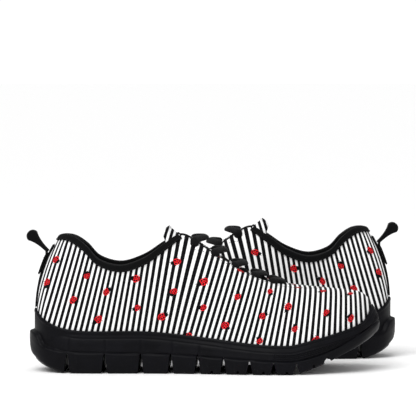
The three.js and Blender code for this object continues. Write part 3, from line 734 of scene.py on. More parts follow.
def makePrintMap():
    shares = np.linspace(0, 1, 161)
    ups = np.linspace(0, 1, 61)
    stations = np.arange(printLay["first"], printLay["last"], printLay["step"])
    tables = {}
    for side in (1, -1):
        grid = skin(side * np.maximum(shares, 1e-5)[:, None], ups[None, :])
        x, y, z = grid[..., 0], grid[..., 1], grid[..., 2]
        heelX = np.maximum.accumulate(x[0])
        toeX = np.minimum.accumulate(x[-1])
        heelZ = np.interp(stations, heelX, z[0])
        toeZ = np.interp(stations, toeX[::-1], z[-1][::-1])
        rowY, rowZ = np.zeros((2, len(stations), len(ups)))
        for j in range(len(ups)):
            rowX = np.maximum.accumulate(x[:, j])
            early, late = stations < rowX[0], stations > rowX[-1]
            rowY[:, j] = np.where(early | late, centreAt(stations), np.interp(stations, rowX, y[:, j]))
            rowZ[:, j] = np.where(early, heelZ, np.where(late, toeZ, np.interp(stations, rowX, z[:, j])))
        steps = np.hypot(np.diff(rowY, axis=1), np.diff(rowZ, axis=1))
        tables[side] = np.hstack([np.zeros((len(stations), 1)), np.cumsum(steps, axis=1)])
        tables[side, "edge"] = rowY[:, -1]
    gap = np.abs(tables[1, "edge"] - tables[-1, "edge"])
    total = tables[1][:, -1] + gap + tables[-1][:, -1]
    heelEnd = int(np.searchsorted(stations, printLay["heelEnd"]))
    total[:heelEnd] = total[heelEnd]
    girth = skin(np.maximum(shares, 1e-5), np.full_like(shares, 0.45))
    run = runAlong(girth[:, :2])
    extra = run - girth[:, 0]
    heelShare = printLay["heelShare"]
    beyond = extra - np.interp(heelShare, shares, extra)
    extra = np.where(shares < heelShare, printLay["heelEase"] * beyond, 0)

    def at(around, up, points):
        around, up = np.broadcast_arrays(np.asarray(around, float), np.asarray(up, float))
        x = points[..., 0]
        v = np.zeros_like(x)
        column = np.clip((up * (len(ups) - 1)), 0, len(ups) - 1)
        low = np.minimum(column.astype(int), len(ups) - 2)
        station = np.clip((x - stations[0]) / printLay["step"], 0, len(stations) - 1.001)
        first = station.astype(int)
        k, m = station - first, column - low
        for side in (1, -1):
            t = tables[side]
            value = ((1 - k) * ((1 - m) * t[first, low] + m * t[first, low + 1])
                     + k * ((1 - m) * t[first + 1, low] + m * t[first + 1, low + 1]))
            if side < 0:
                value = (1 - k) * total[first] + k * total[first + 1] - value
            v = np.where(np.sign(around) * side >= (0 if side > 0 else 1e-9), value, v)
        u = x + np.interp(np.abs(around), shares, extra)
        above = points[..., 2] - printLay["pivot"]
        foot = x - above * 0.2
        u = u - above * np.tan(np.radians(leanAt(foot)))
        return np.stack([u + 60, v + 40], -1)
    return at


printAt = makePrintMap()
print("shoe lines ready")


# Meshes.
# A shoe's own frame becomes the shared frame: the right shoe moves, the left one is mirrored too.
def shoePlaces():
    ring = np.concatenate([np.arange(columns + 1), np.arange(1 - columns, 0)]) / columns
    lowest = solePoint(ring, 0)[:, 1].min() * mm
    rightLow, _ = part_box("right_midsole")
    leftLow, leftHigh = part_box("left_midsole")
    right = Matrix.Translation((rightLow.x, rightLow.y - lowest, 0))
    left = Matrix.Translation((leftHigh.x, leftLow.y - lowest, 0)) @ Matrix.Diagonal((-1, 1, 1, 1))
    return {"right": right, "left": left}


places = shoePlaces()


def meshFrom(name, points, faces, uvs=None, closed=True, sharp=40):
    mesh = bpy.data.meshes.new(name)
    metres = (np.asarray(points, float).reshape(-1, 3) * mm).tolist()
    mesh.from_pydata(metres, [], [list(map(int, face)) for face in faces])
    if uvs is not None:
        layer = mesh.uv_layers.new(name=uvName)
        corner = np.zeros(len(mesh.loops), int)
        mesh.loops.foreach_get("vertex_index", corner)
        layer.data.foreach_set("uv", np.asarray(uvs, float).reshape(-1, 2)[corner].ravel())
    finishMesh(mesh, closed, sharp)
    return mesh


def finishMesh(mesh, closed=True, sharp=40):
    work = bmesh.new()
    work.from_mesh(mesh)
    bmesh.ops.remove_doubles(work, verts=work.verts, dist=0.00001)
    bmesh.ops.dissolve_degenerate(work, edges=work.edges, dist=0.000002)
    if closed:
        bmesh.ops.recalc_face_normals(work, faces=work.faces)
        if work.calc_volume(signed=True) < 0:
            bmesh.ops.reverse_faces(work, faces=work.faces)
    work.to_mesh(mesh)
    work.free()
    mesh.shade_smooth()
    mesh.set_sharp_from_angle(angle=math.radians(sharp))


def gridFaces(count, width, looped=False, rounded=False, start=0):
    i = np.arange(count if looped else count - 1)[:, None]
    j = np.arange(width if rounded else width - 1)[None, :]
    nextI, nextJ = (i + 1) % count, (j + 1) % width
    corners = [i * width + j, nextI * width + j, nextI * width + nextJ, i * width + nextJ]
    return (np.stack(np.broadcast_arrays(*corners), -1).reshape(-1, 4) + start).tolist()


def slabCap(end, width):
    return [[end + j, end + j + 1, end + width - 2 - j, end + width - 1 - j] for j in range(width // 2 - 1)]


# The sides and both ends of a prism whose points come as one end and then the other.
def prismFaces(count):
    faces = [[j, (j + 1) % count, count + (j + 1) % count, count + j] for j in range(count)]
    return faces + [list(range(count))[::-1], list(range(count, 2 * count))]


# Joins round cross-sections; flat slabs are capped with a ladder of quads.
def sweep(name, sections, uvs=None, looped=False, fan=False, sharp=40):
    sections = np.asarray(sections, float)
    count, width = sections.shape[:2]
    faces = gridFaces(count, width, looped, True)
    if not looped:
        for end in (0, (count - 1) * width):
            faces += [[end + j for j in range(width)]] if fan else slabCap(end, width)
    return meshFrom(name, sections, faces, uvs, sharp=sharp)


# A shell between two depths of the upper, over columns and rows.
def shellPatch(name, arounds, ups, outer, inner, looped=False, sharp=40):
    arounds = np.asarray(arounds, float)[:, None]
    ups = np.broadcast_to(np.asarray(ups, float), (len(arounds), np.shape(ups)[-1]))
    sheets, maps = [], []
    for depth in (outer, inner):
        deep = depth(arounds, ups) if callable(depth) else np.full(ups.shape, float(depth))
        points = inward(arounds, ups, deep)
        sheets.append(points)
        maps.append(printAt(arounds, ups, points))
    sections = np.concatenate([sheets[0], sheets[1][:, ::-1]], 1)
    uvs = np.concatenate([maps[0], maps[1][:, ::-1]], 1)
    return sweep(name, sections, uvs, looped, sharp=sharp)


def evaluated(thing):
    return bpy.data.meshes.new_from_object(thing.evaluated_get(bpy.context.evaluated_depsgraph_get()))


def cutWith(mesh, cutter):
    target = linkObject(bpy.data.objects.new("cutTarget", mesh))
    knife = linkObject(bpy.data.objects.new("cutTool", cutter))
    modifier = target.modifiers.new("cut", "BOOLEAN")
    modifier.operation, modifier.solver, modifier.object = "DIFFERENCE", "EXACT", knife
    result = evaluated(target)
    bpy.data.objects.remove(target)
    bpy.data.objects.remove(knife)
    finishMesh(result)
    return result


def signedVolume(points, faces):
    total = 0.0
    for face in faces:
        first = points[face[0]]
        for second, third in zip(face[1:-1], face[2:]):
            total += float(np.dot(first, np.cross(points[second], points[third])))
    return total


# Several closed shapes as one mesh, each with its faces outwards.
def joinParts(name, parts):
    points, faces = [], []
    for partPoints, partFaces in parts:
        partPoints = np.asarray(partPoints, float)
        start = len(points)
        turn = -1 if signedVolume(partPoints - partPoints[0], partFaces) < 0 else 1
        points += partPoints.tolist()
        faces += [[start + int(i) for i in face[::turn]] for face in partFaces]
    return meshFrom(name, points, faces, closed=False)


# Puts one mesh on both shoes. nodes are the CAD pieces that it stands for, without the side's name.
def putOnShoes(label, mesh, finish, nodes=(), body="pair"):
    for side in ("right", "left"):
        data = mesh.copy()
        data.transform(places[side])
        if side == "left":
            data.flip_normals()
        data.name = f"{side}{label}"
        data.materials.clear()
        data.materials.append(finishes[finish])
        piece = linkObject(bpy.data.objects.new(f"{side}{label}", data))
        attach(piece, body if body == "pair" else f"{side}_{body}")
        if nodes:
            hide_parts(*[f"{side}_{node}" for node in nodes])


# Geometry node trees.
def geometryTree(name, inputs):
    tree = bpy.data.node_groups.new(name, "GeometryNodeTree")
    tree.interface.new_socket("Geometry", in_out="INPUT", socket_type="NodeSocketGeometry")
    for label, value in inputs.items():
        kind = "NodeSocketInt" if isinstance(value, int) else "NodeSocketFloat"
        tree.interface.new_socket(label, in_out="INPUT", socket_type=kind).default_value = value
    tree.interface.new_socket("Material", in_out="INPUT", socket_type="NodeSocketMaterial")
    tree.interface.new_socket("Geometry", in_out="OUTPUT", socket_type="NodeSocketGeometry")
    return tree, tree.nodes.new("NodeGroupInput").outputs, tree.nodes.new("NodeGroupOutput").inputs


def endTree(tree, geometry, given, out):
    real = addNode(tree, "GeometryNodeRealizeInstances", {0: geometry})
    smooth = addNode(tree, "GeometryNodeSetShadeSmooth", {0: real.outputs[0]})
    painted = addNode(tree, "GeometryNodeSetMaterial",
                      {"Geometry": smooth.outputs[0], "Material": given["Material"]})
    tree.links.new(painted.outputs[0], out[0])
    return tree


def evenCurve(tree, given, step):
    path = addNode(tree, "GeometryNodeMeshToCurve", {0: given["Geometry"]}).outputs[0]
    return addNode(tree, "GeometryNodeResampleCurve", {"Curve": path, "Length": given[step]},
                   mode="LENGTH").outputs[0]


def stitchTree():
    tree, given, out = geometryTree("stitchesAlongPath",
                                    {"Pitch": 0.0026, "Length": 0.0019, "Thickness": 0.0006})
    spaced = evenCurve(tree, given, "Pitch")
    tangent = addNode(tree, "GeometryNodeInputTangent")
    turn = addNode(tree, "FunctionNodeAlignRotationToVector", {"Vector": tangent.outputs[0]}, axis="X")
    bead = addNode(tree, "GeometryNodeMeshUVSphere", {"Segments": 6, "Rings": 4, "Radius": 0.5})
    size = addNode(tree, "ShaderNodeCombineXYZ",
                   {0: given["Length"], 1: given["Thickness"], 2: given["Thickness"]})
    placed = addNode(tree, "GeometryNodeInstanceOnPoints", {"Points": spaced, "Instance": bead.outputs[0],
        "Rotation": turn.outputs[0], "Scale": size.outputs[0]})
    return endTree(tree, placed.outputs[0], given, out)


def studTree():
    tree, given, out = geometryTree("studsOnSurface", {"Radius": 0.0005, "Height": 0.0005, "Sides": 5})
    normal = addNode(tree, "GeometryNodeInputNormal")
    turn = addNode(tree, "FunctionNodeAlignRotationToVector", {"Vector": normal.outputs[0]}, axis="Z")
    top = multiply(tree, given["Radius"], 0.45)
    stud = addNode(tree, "GeometryNodeMeshCone", {"Vertices": given["Sides"], "Radius Top": top,
        "Radius Bottom": given["Radius"], "Depth": given["Height"]})
    placed = addNode(tree, "GeometryNodeInstanceOnPoints",
                     {"Points": given["Geometry"], "Instance": stud.outputs[0], "Rotation": turn.outputs[0]})
    return endTree(tree, placed.outputs[0], given, out)


def ribTree():
    tree, given, out = geometryTree("ribAlongPath", {"Radius": 0.0004, "Spacing": 0.002, "Sides": 6})
    spaced = evenCurve(tree, given, "Spacing")
    ring = addNode(tree, "GeometryNodeCurvePrimitiveCircle",
                   {"Resolution": given["Sides"], "Radius": given["Radius"]})
    tube = addNode(tree, "GeometryNodeCurveToMesh", {"Curve": spaced, "Profile Curve": ring.outputs[0],
        "Fill Caps": True})
    return endTree(tree, tube.outputs[0], given, out)


trees = {"stitches": stitchTree(), "studs": studTree(), "ribs": ribTree()}


def growFrom(tree, base, **values):
    source = linkObject(bpy.data.objects.new("growSource", base))
    modifier = source.modifiers.new("grow", "NODES")
    modifier.node_group = trees[tree]
    for item in trees[tree].interface.items_tree:
        if item.in_out == "INPUT" and item.name in values:
            modifier[item.identifier] = values[item.name]
    mesh = evaluated(source)
    source.modifiers.remove(modifier)
    bpy.data.objects.remove(source)
    return mesh


def pathMesh(paths):
    points, edges = [], []
    for path in paths:
        start = len(points)
        points += (np.asarray(path, float) * mm).tolist()
        edges += [(start + i, start + i + 1) for i in range(len(path) - 1)]
    mesh = bpy.data.meshes.new("path")
    mesh.from_pydata(points, edges, [])
    return mesh


def addStitches(label, paths, body="pair", pitch=2.6, size=1.9, thickness=0.55):
    mesh = growFrom("stitches", pathMesh(paths), Pitch=pitch * mm, Length=size * mm,
                    Thickness=thickness * mm, Material=finishes["thread"])
    putOnShoes(label, mesh, "thread", body=body)


# Layers of the upper.
layers = {
    "fabric": 1.2, "stiffenerAt": 1.5, "stiffener": 1.2, "liningAt": 3.0, "lining": 1.0,
    "padding": 5.0, "padEnd": 0.5, "throatLow": 0.76,
}
throatFront = 15 / columns
ringArounds = np.concatenate([np.linspace(0, 1, 133)[:-1], np.linspace(-1, 0, 133)[:-1]])
ringArounds[0] = 1e-7
paddingByUp = throughPoints([(0.36, 0), (0.46, 0.04), (0.58, 0.3), (0.68, 0.78), (0.78, 1), (0.9, 0.95),
                             (1, 0.55)])


def paddingAt(arounds, ups):
    share = np.abs(arounds)
    fade = 1 - smoothStep(0.43, 0.555, share)
    heelRelief = 1 - 0.3 * np.exp(-(share / 0.07) ** 2)
    return layers["padding"] * fade * heelRelief * paddingByUp(ups)


def liningDepth(arounds, ups):
    return layers["liningAt"] + paddingAt(arounds, ups)


def liningInner(arounds, ups):
    return liningDepth(arounds, ups) + layers["lining"]


eyelets = {"rows": 5, "up": 0.88, "first": 0.582, "last": 0.8, "radius": 3.5}


def eyeletShare(row):
    return mix(eyelets["first"], eyelets["last"], row / (eyelets["rows"] - 1))


def tubeAt(centre, axis, radius, reach, sides=20):
    axis = unit(np.asarray(axis, float))
    side = unit(np.cross(axis, [0.3, 1.0, 0.2]))
    other = np.cross(axis, side)
    angles = np.arange(sides) * 2 * math.pi / sides
    rim = np.cos(angles)[:, None] * side * radius + np.sin(angles)[:, None] * other * radius
    points = np.concatenate([centre - axis * reach + rim, centre + axis * reach + rim])
    return points, prismFaces(sides)


def eyeletCutter(sides):
    tubes = []
    for side in sides:
        for row in range(eyelets["rows"]):
            around = -side * eyeletShare(row)
            centre, axis = skin(around, eyelets["up"]), skinNormal(around, eyelets["up"])
            tubes.append(tubeAt(centre, axis, eyelets["radius"], 9))
    return joinParts("eyeletCutter", tubes)


def makeUpper():
    ups = np.linspace(0, 1, 46)
    shell = shellPatch("upper", ringArounds, ups, 0, layers["fabric"], looped=True)
    putOnShoes("Upper", cutWith(shell, eyeletCutter((-1, 1))), "print", ["upper"])
    tops = 1 - (1 - layers["throatLow"]) * smoothStep(0.5, 0.556, np.abs(ringArounds))
    lowered = ups[None, :] * tops[:, None]
    lining = shellPatch("lining", ringArounds, lowered, liningDepth, liningInner, looped=True)
    putOnShoes("Lining", lining, "liningMesh", ["lining"])


def makeStiffeners():
    def between(name, arounds, ups):
        start = layers["stiffenerAt"]
        return shellPatch(name, arounds, ups, start, start + layers["stiffener"])
    counter = between("counter", np.linspace(-6, 6, 61) / columns + 1e-7, np.linspace(0.08, 0.4, 14))
    putOnShoes("HeelCounter", counter, "stiffener", ["heel_counter"])
    toeArounds = np.concatenate([np.linspace(throatFront, 1, 19), np.linspace(-1, -throatFront, 19)[1:]])
    puff = between("puff", toeArounds, np.linspace(0.08, 0.58, 18))
    putOnShoes("ToePuff", puff, "stiffener", ["toe_puff"])
    for side, label, node in ((-1, "LateralStay", "lateral_eyestay"), (1, "MedialStay", "medial_eyestay")):
        arounds = -side * np.linspace(10 / columns, throatFront, 41)
        stay = between("stay", arounds, np.linspace(layers["throatLow"], 1, 14))
        putOnShoes(label, cutWith(stay, eyeletCutter((side,))), "stay", [node])


def makeCollarFoam():
    padArounds = np.linspace(-layers["padEnd"], layers["padEnd"], 121) + 1e-7
    pad = shellPatch("pad", padArounds, np.linspace(0.58, 1, 22), layers["stiffenerAt"],
                     lambda a, u: liningDepth(a, u) - 0.3)
    putOnShoes("CollarFoam", pad, "padding", ["collar_foam"])


makeUpper()
makeStiffeners()
makeCollarFoam()
print("upper made")

# Collar binding.
binding = {"end": 0.5556, "drop": 4.2, "innerDrop": 3.2, "gap": 0.4, "thickness": 0.9, "crown": 1.7}


def edgePoint(around, depth, down):
    around, depth, down = np.broadcast_arrays(*[np.asarray(v, float) for v in (around, depth, down)])
    span = np.linalg.norm(skin(around, 1.0) - skin(around, 0.9), axis=-1)
    ups = 1 - 0.1 * np.maximum(down, 0) / span
    base = inward(around, ups, depth)
    rising = unit(skin(around, 1.0) - skin(around, 0.97))
    return base + rising * np.maximum(-down, 0)[..., None]


def bindingProfile(arounds, grow):
    near = binding["gap"] + grow
    inner = liningInner(arounds, np.full_like(arounds, 0.97)) + near
    outer = np.full_like(arounds, -near)
    depths, downs = [], []
    for down in (binding["drop"], 0.6 * binding["drop"], 0.3 * binding["drop"], 0.3):
        depths.append(outer)
        downs.append(np.full_like(arounds, down))
    for angle in np.linspace(0, math.pi, 9)[1:-1]:
        depths.append(mix(outer, inner, (1 - math.cos(angle)) / 2))
        downs.append(np.full_like(arounds, -(binding["crown"] - 0.9 + grow) * math.sin(angle) ** 0.7))
    for down in (0.3, 0.3 * binding["innerDrop"], 0.6 * binding["innerDrop"], binding["innerDrop"]):
        depths.append(inner)
        downs.append(np.full_like(arounds, down))
    return np.stack(depths, 1), np.stack(downs, 1)


def makeBinding():
    arounds = np.linspace(-binding["end"], binding["end"], 261) + 1e-7
    sheets = []
    for grow in (binding["thickness"], 0.0):
        depths, downs = bindingProfile(arounds, grow)
        sheets.append(edgePoint(arounds[:, None], depths, downs))
    sections = np.concatenate([sheets[0], sheets[1][:, ::-1]], 1)
    along = runAlong(sheets[0][:, 0])
    across = np.arange(sections.shape[1]) * 1.1
    uvs = crossed(along[:, None], across[None, :])
    putOnShoes("CollarBinding", sweep("binding", sections, uvs), "binding", ["collar_binding"])
    outside = edgePoint(arounds, -binding["gap"] - binding["thickness"] - 0.1, binding["drop"] - 0.9)
    addStitches("BindingStitches", [outside], pitch=2.4, size=1.7)


def makeThroatStitches():
    rows = []
    for side in (-1, 1):
        for up in (0.965, 0.79):
            rows.append(inward(-side * np.linspace(0.57, 0.985, 120), up, -0.12))
    addStitches("ThroatStitches", rows, pitch=2.3, size=1.7, thickness=0.45)


def makeThroatPiping():
    shares = np.linspace(0.558, 1.0, 150)
    arounds = np.concatenate([shares, -shares[::-1][1:]])
    line = inward(arounds, 1.0, 1.2)
    for _ in range(2):
        line[1:-1] = (line[:-2] + 2 * line[1:-1] + line[2:]) / 4
    piping = growFrom("ribs", pathMesh([line]), Radius=1.15 * mm, Spacing=1.2 * mm, Sides=10,
                      Material=finishes["stay"])
    putOnShoes("ThroatPiping", piping, "stay")


makeBinding()
makeThroatStitches()
makeThroatPiping()
print("collar bound and stitched")

# Sole.
soleForm = {
    "slits": (0.114, 0.22, 0.322, 0.407, 0.483, 0.556, 0.63, 0.698, 0.762, 0.85),
    "sipes": (0.519, 0.592, 0.664, 0.73, 0.806), "sipeHeight": 3.2, "sipeWidth": 2.2,
    "slitLow": 4.8, "slitHigh": 1.3, "slitSkew": 0.032, "flare": 1.4,
    "grooveDepth": 1.3, "grooveWidth": 0.75, "podStep": 0.8, "heelStep": 2.9, "deepest": 4.1,
    "panelDepth": 0.55,
    "podRounding": 1.3, "treadInset": 7, "treadGap": 0.4, "treadThickness": 2, "treadMargin": 5.2,
    "clearance": 0.5, "turnFrom": 0.66, "turnOver": 0.34,  # the wall's top turns in to the rim
}
slitTop = throughPoints([(0, 16.4), (0.5, 16.4), (0.556, 14), (0.63, 11), (0.7, 9.5), (0.762, 9),
    (0.85, 5), (1, 4)])
grooveHeight = throughPoints([(0, 34), (5, 31.5), (10, 23.5), (17, 20.5), (33, 17.8), (64, 17), (93, 16.5),
    (120, 15.9), (141, 14.6), (161, 13.4), (183, 12), (202, 11), (221, 11.5), (247, 19), (270, 30),
    (290, 41)])
slitPlaces = np.array(soleForm["slits"]) * length


def heightOnSkin(around, height):
    ups = np.linspace(0, 1, 81)
    zs = np.maximum.accumulate(skin(np.asarray(around)[:, None], ups[None, :])[..., 2], axis=1)
    return np.array([np.interp(h, z, ups) for h, z in zip(height, zs)])


def soleDetail(x, z, bite):
    groove = grooveHeight(x)
    line = np.exp(-((z - groove) / soleForm["grooveWidth"]) ** 2)
    inset = soleForm["grooveDepth"] * line
    step = soleForm["podStep"] + soleForm["heelStep"] * (1 - smoothStep(5, 42, x))
    inset = inset + step * smoothStep(-0.8, 1.2, z - groove)
    nearest = np.min(np.abs(x[..., None] - slitPlaces), axis=-1)
    panelled = smoothStep(0, 1.5, z - groove) * (1 - smoothStep(-7.5, -6, z - bite))
    panel = np.exp(-(nearest / 0.7) ** 2) * panelled
    inset = inset + soleForm["panelDepth"] * panel
    ledge = np.exp(-((z - bite + 6.2) / 0.5) ** 2) * 0.45
    rounding = soleForm["podRounding"] * np.exp(-(nearest / 4.5) ** 2) * (1 - smoothStep(-3, 1, z - groove))
    return inset + ledge + rounding


def wallInset(share):
    return np.interp(share, (0, 0.025, 0.06, 0.12, 0.2, 0.38, 0.5, 0.66),
                     (3.6, 2.0, 1.2, 0.7, 0.25, 0, 0.2, 1.0))


def midsoleSections(arounds):
    wall = solePoint(arounds, 0)
    foot = solePoint(arounds, form["rimInset"])
    ground, bite = groundAt(wall[:, 0]), biteAt(foot[:, 0])
    biteUp = heightOnSkin(arounds, bite)
    rimOut = inward(arounds, biteUp, -soleForm["clearance"] - form["rimWall"])
    rimIn = inward(arounds, biteUp, -soleForm["clearance"])
    shares = np.concatenate([[0, 0.02, 0.045, 0.08, 0.12], np.linspace(0.15, 0.98, 48)])
    rows = []
    inAt = solePoint(arounds, 1) - solePoint(arounds, 0)
    for share in shares:
        z = ground + share * (bite - ground)
        base = wall + inAt * wallInset(min(share, soleForm["turnFrom"]))
        base[:, 2] = z
        if share > soleForm["turnFrom"]:
            turn = ((share - soleForm["turnFrom"]) / soleForm["turnOver"]) ** 1.5
            base[:, :2] = mix(base[:, :2], rimOut[:, :2], turn)
        fade = (1 - smoothStep(0.9, 0.98, share)) * smoothStep(0.02, 0.1, share)
        room = soleForm["deepest"] - np.sum((base - wall) * inAt, -1)
        detail = np.minimum(soleDetail(wall[:, 0], z, bite), np.maximum(room, 0.2))
        base += inAt * (detail * fade)[:, None]
        rows.append(base)
    spineX = np.clip(foot[:, 0], 0.05 * length, 0.955 * length)
    spine = np.stack([spineX, centreAt(spineX), groundAt(spineX)], -1)
    bottom = []
    for k in np.linspace(0, 0.85, 4):
        point = mix(spine, rows[0], k)
        point[:, 2] = groundAt(point[:, 0])
        bottom.append(point)
    inner = [inward(arounds, biteUp * up, -soleForm["clearance"]) for up in (0.75, 0.5, 0.25)]
    floorEdge = inward(arounds, 0.0, -soleForm["clearance"])
    floorEdge[:, 2] = footbedAt(foot[:, 0]) - 0.3
    spineTop = spine.copy()
    spineTop[:, 2] = footbedAt(spineX) - 0.3
    midTop = mix(floorEdge, spineTop, 0.4)
    midTop[:, 2] = footbedAt(midTop[:, 0]) - 0.3
    return np.stack(bottom + rows + [rimOut, rimIn] + inner + [floorEdge, midTop, spineTop], 1)


def acrossSole(outline, skew=0.0):
    reach = form["ball"]
    points = [(px + y * skew, y, pz) for y in (-reach, reach) for px, pz in outline]
    return points, prismFaces(len(outline))


# A wedge that cuts one flex slit.
def slitPrism(share):
    x = share * length
    base = float(groundAt(x)) if share > 0.8 else 0
    top = float(slitTop(share)) + base
    low, high, flare = soleForm["slitLow"] / 2, soleForm["slitHigh"] / 2, soleForm["flare"]
    half = [(low + flare, base - 1.5), (low + flare * 0.35, base + 0.5), (low, base + 1.6),
            (high, top - 1.2), (high * 0.6, top - 0.3)]
    outline = [(x - w, z) for w, z in half] + [(x, top)] + [(x + w, z) for w, z in reversed(half)]
    return acrossSole(outline, soleForm["slitSkew"])


# A short notch across the tread, between two slits.
def sipePrism(share):
    x, half = share * length, soleForm["sipeWidth"] / 2
    base = float(groundAt(x))
    top = base + soleForm["sipeHeight"]
    steps = [(half * 1.5, base - 1), (half, base + 1.2), (half * 0.6, top)]
    outline = [(x - w, z) for w, z in steps] + [(x + w, z) for w, z in reversed(steps)]
    return acrossSole(outline)


# A plate under one pod, between two places along the sole.
def podPlate(start, end, inset, lowAt, highAt, steps=40, across=26):
    arounds = np.linspace(0, 1, 400)
    edges = {}
    for side in (1, -1):
        outline = solePoint(side * np.maximum(arounds, 1e-6), inset)
        order = np.maximum.accumulate(outline[:, 0])
        edges[side] = (order, outline[:, 1])
    start = max(start, edges[1][0][0] + 1.2)
    xs = np.linspace(start, end, steps)
    sides = [np.interp(xs, *edges[side]) for side in (1, -1)]
    ks = np.linspace(0, 1, across)
    x = np.broadcast_to(xs[:, None], (steps, across))
    y = mix(sides[0][:, None], sides[1][:, None], ks[None, :])
    low = np.stack([x, y, lowAt(x, y)], -1)
    high = np.stack([x, y, highAt(x, y)], -1)
    return np.concatenate([low, high[:, ::-1]], 1)


def asPart(sections):
    count, width = sections.shape[:2]
    faces = gridFaces(count, width, False, True)
    for end in (0, (count - 1) * width):
        faces += slabCap(end, width)
    return sections.reshape(-1, 3), faces


pods = {  # the slits that each wear pad lies between
    "heel_tread": (None, 0), "rear_tread": (0, 1), "ball_tread": (6, 7), "fore_tread": (7, 8),
    "toe_tread": (8, 9),
}


def podLimits(name):
    start, end = pods[name]
    margin = soleForm["treadMargin"]
    return (0.02 * length if start is None else slitPlaces[start] + margin), slitPlaces[end] - margin


def treadGroove(x, y):
    wave = np.abs(np.sin((x + 2.6 * np.sin(y * 0.55)) * math.pi / 4.2))
    return groundAt(x) + 0.9 * np.exp(-(wave / 0.28) ** 2)


def makeSole():
    arounds = np.concatenate([np.linspace(0, 1, 301)[:-1], np.linspace(-1, 0, 301)[:-1]])
    arounds[0] = 1e-7
    sections = midsoleSections(arounds)
    along = runAlong(sections[:, 8])
    uvs = crossed(along[:, None], sections[..., 2])
    body = sweep("midsole", sections, uvs, looped=True, sharp=35)
    thickness, gap = soleForm["treadThickness"], soleForm["treadGap"]
    for share in soleForm["slits"]:
        body = cutWith(body, joinParts("slitCutter", [slitPrism(share)]))
    cutters = []
    for name in pods:
        start, end = podLimits(name)
        cutters.append(asPart(podPlate(start - gap, end + gap, soleForm["treadInset"] - gap,
            lambda x, y: groundAt(x) - 1, lambda x, y: groundAt(x) + thickness + gap, 12, 6)))
    body = cutWith(body, joinParts("pocketCutter", cutters))
    for share in soleForm["sipes"]:
        body = cutWith(body, joinParts("sipeCutter", [sipePrism(share)]))
    print("sole's lowest point, mm:", round(min(v.co.z for v in body.vertices) / mm, 2))
    putOnShoes("Midsole", body, "foam", ["midsole"])
    for name in pods:
        plate = podPlate(*podLimits(name), soleForm["treadInset"], treadGroove,
                         lambda x, y: groundAt(x) + thickness, 60, 60)
        label = "".join(word.capitalize() for word in name.split("_"))
        putOnShoes(label, sweep(name, plate, plate[..., :2]), "rubber", [name])


makeSole()
print("sole made")


def makeSoleDetail():
    shares = np.concatenate([np.linspace(0.03, 0.97, 560), -np.linspace(0.97, 0.03, 560)])
    foot = solePoint(shares, form["rimInset"])
    bite = biteAt(foot[:, 0])
    biteUp = heightOnSkin(shares, bite)
    rim = inward(shares, biteUp, -soleForm["clearance"] - form["rimWall"])
    wall = solePoint(shares, 0)
    inAt = solePoint(shares, 1) - wall
    ground = groundAt(wall[:, 0])

    def onWall(below):
        z = bite - below
        share = (z - ground) / (bite - ground)
        k = np.clip((share - soleForm["turnFrom"]) / soleForm["turnOver"], 0, 1)
        base = wall + inAt
        base[:, :2] = mix(base[:, :2], rim[:, :2], (k ** 1.5)[:, None])
        base[:, 2] = z
        room = soleForm["deepest"] - np.sum((base - wall) * inAt * np.array([1, 1, 0]), -1)
        detail = np.minimum(soleDetail(wall[:, 0], z, bite), np.maximum(room, 0.2))
        base += inAt * (detail * (1 - smoothStep(0.9, 0.98, share)))[:, None]
        return base
    band = np.stack([onWall(below) for below in (1.2, 2.4, 3.6, 4.8)], 1)
    path = runAlong(band[:, 1])
    spots = np.arange(0, path[-1], 1.35)
    even = np.stack([np.stack([np.interp(spots, path, band[:, j, axis]) for axis in range(3)], -1)
                     for j in range(band.shape[1])], 1)
    even[::2] = mix(even[::2], np.roll(even, -1, axis=1)[::2], 0.5)
    grid = even[:, :-1]
    net = meshFrom("studNet", grid, gridFaces(len(grid), grid.shape[1]), closed=False)
    studs = growFrom("studs", net, Radius=0.42 * mm, Height=0.5 * mm, Sides=5, Material=finishes["foam"])
    putOnShoes("SoleStuds", studs, "foam")
    ribs = []
    for side in (1, -1):
        front = np.linspace(0.7, 1.0, 120) * side
        for k in (0.28, 0.44, 0.6, 0.76):
            outline = solePoint(front, 0)
            into = solePoint(front, 1) - outline
            feet = solePoint(front, form["rimInset"])
            low, high = groundAt(outline[:, 0]), biteAt(feet[:, 0])
            top = np.maximum(mix(low, high, 0.9) - 3, low)
            bottom = np.maximum(grooveHeight(outline[:, 0]) - 1, low + 3)
            z = mix(bottom, top, k)
            share = (z - low) / (high - low)
            line = outline + into * (wallInset(share) + soleDetail(outline[:, 0], z, high) - 0.05)[:, None]
            line[:, 2] = z
            keep = top - bottom > 4
            ribs.append(line[keep])
    rib = growFrom("ribs", pathMesh([r for r in ribs if len(r) > 3]), Radius=0.42 * mm, Spacing=2.0 * mm,
                   Material=finishes["foam"])
    putOnShoes("ToeRibs", rib, "foam")


makeSoleDetail()
print("sole texture made")

# Board and insole.
inner = {"inset": 11.8, "board": 1.2, "gap": 0.3, "insole": 4.5, "edge": 1.4}


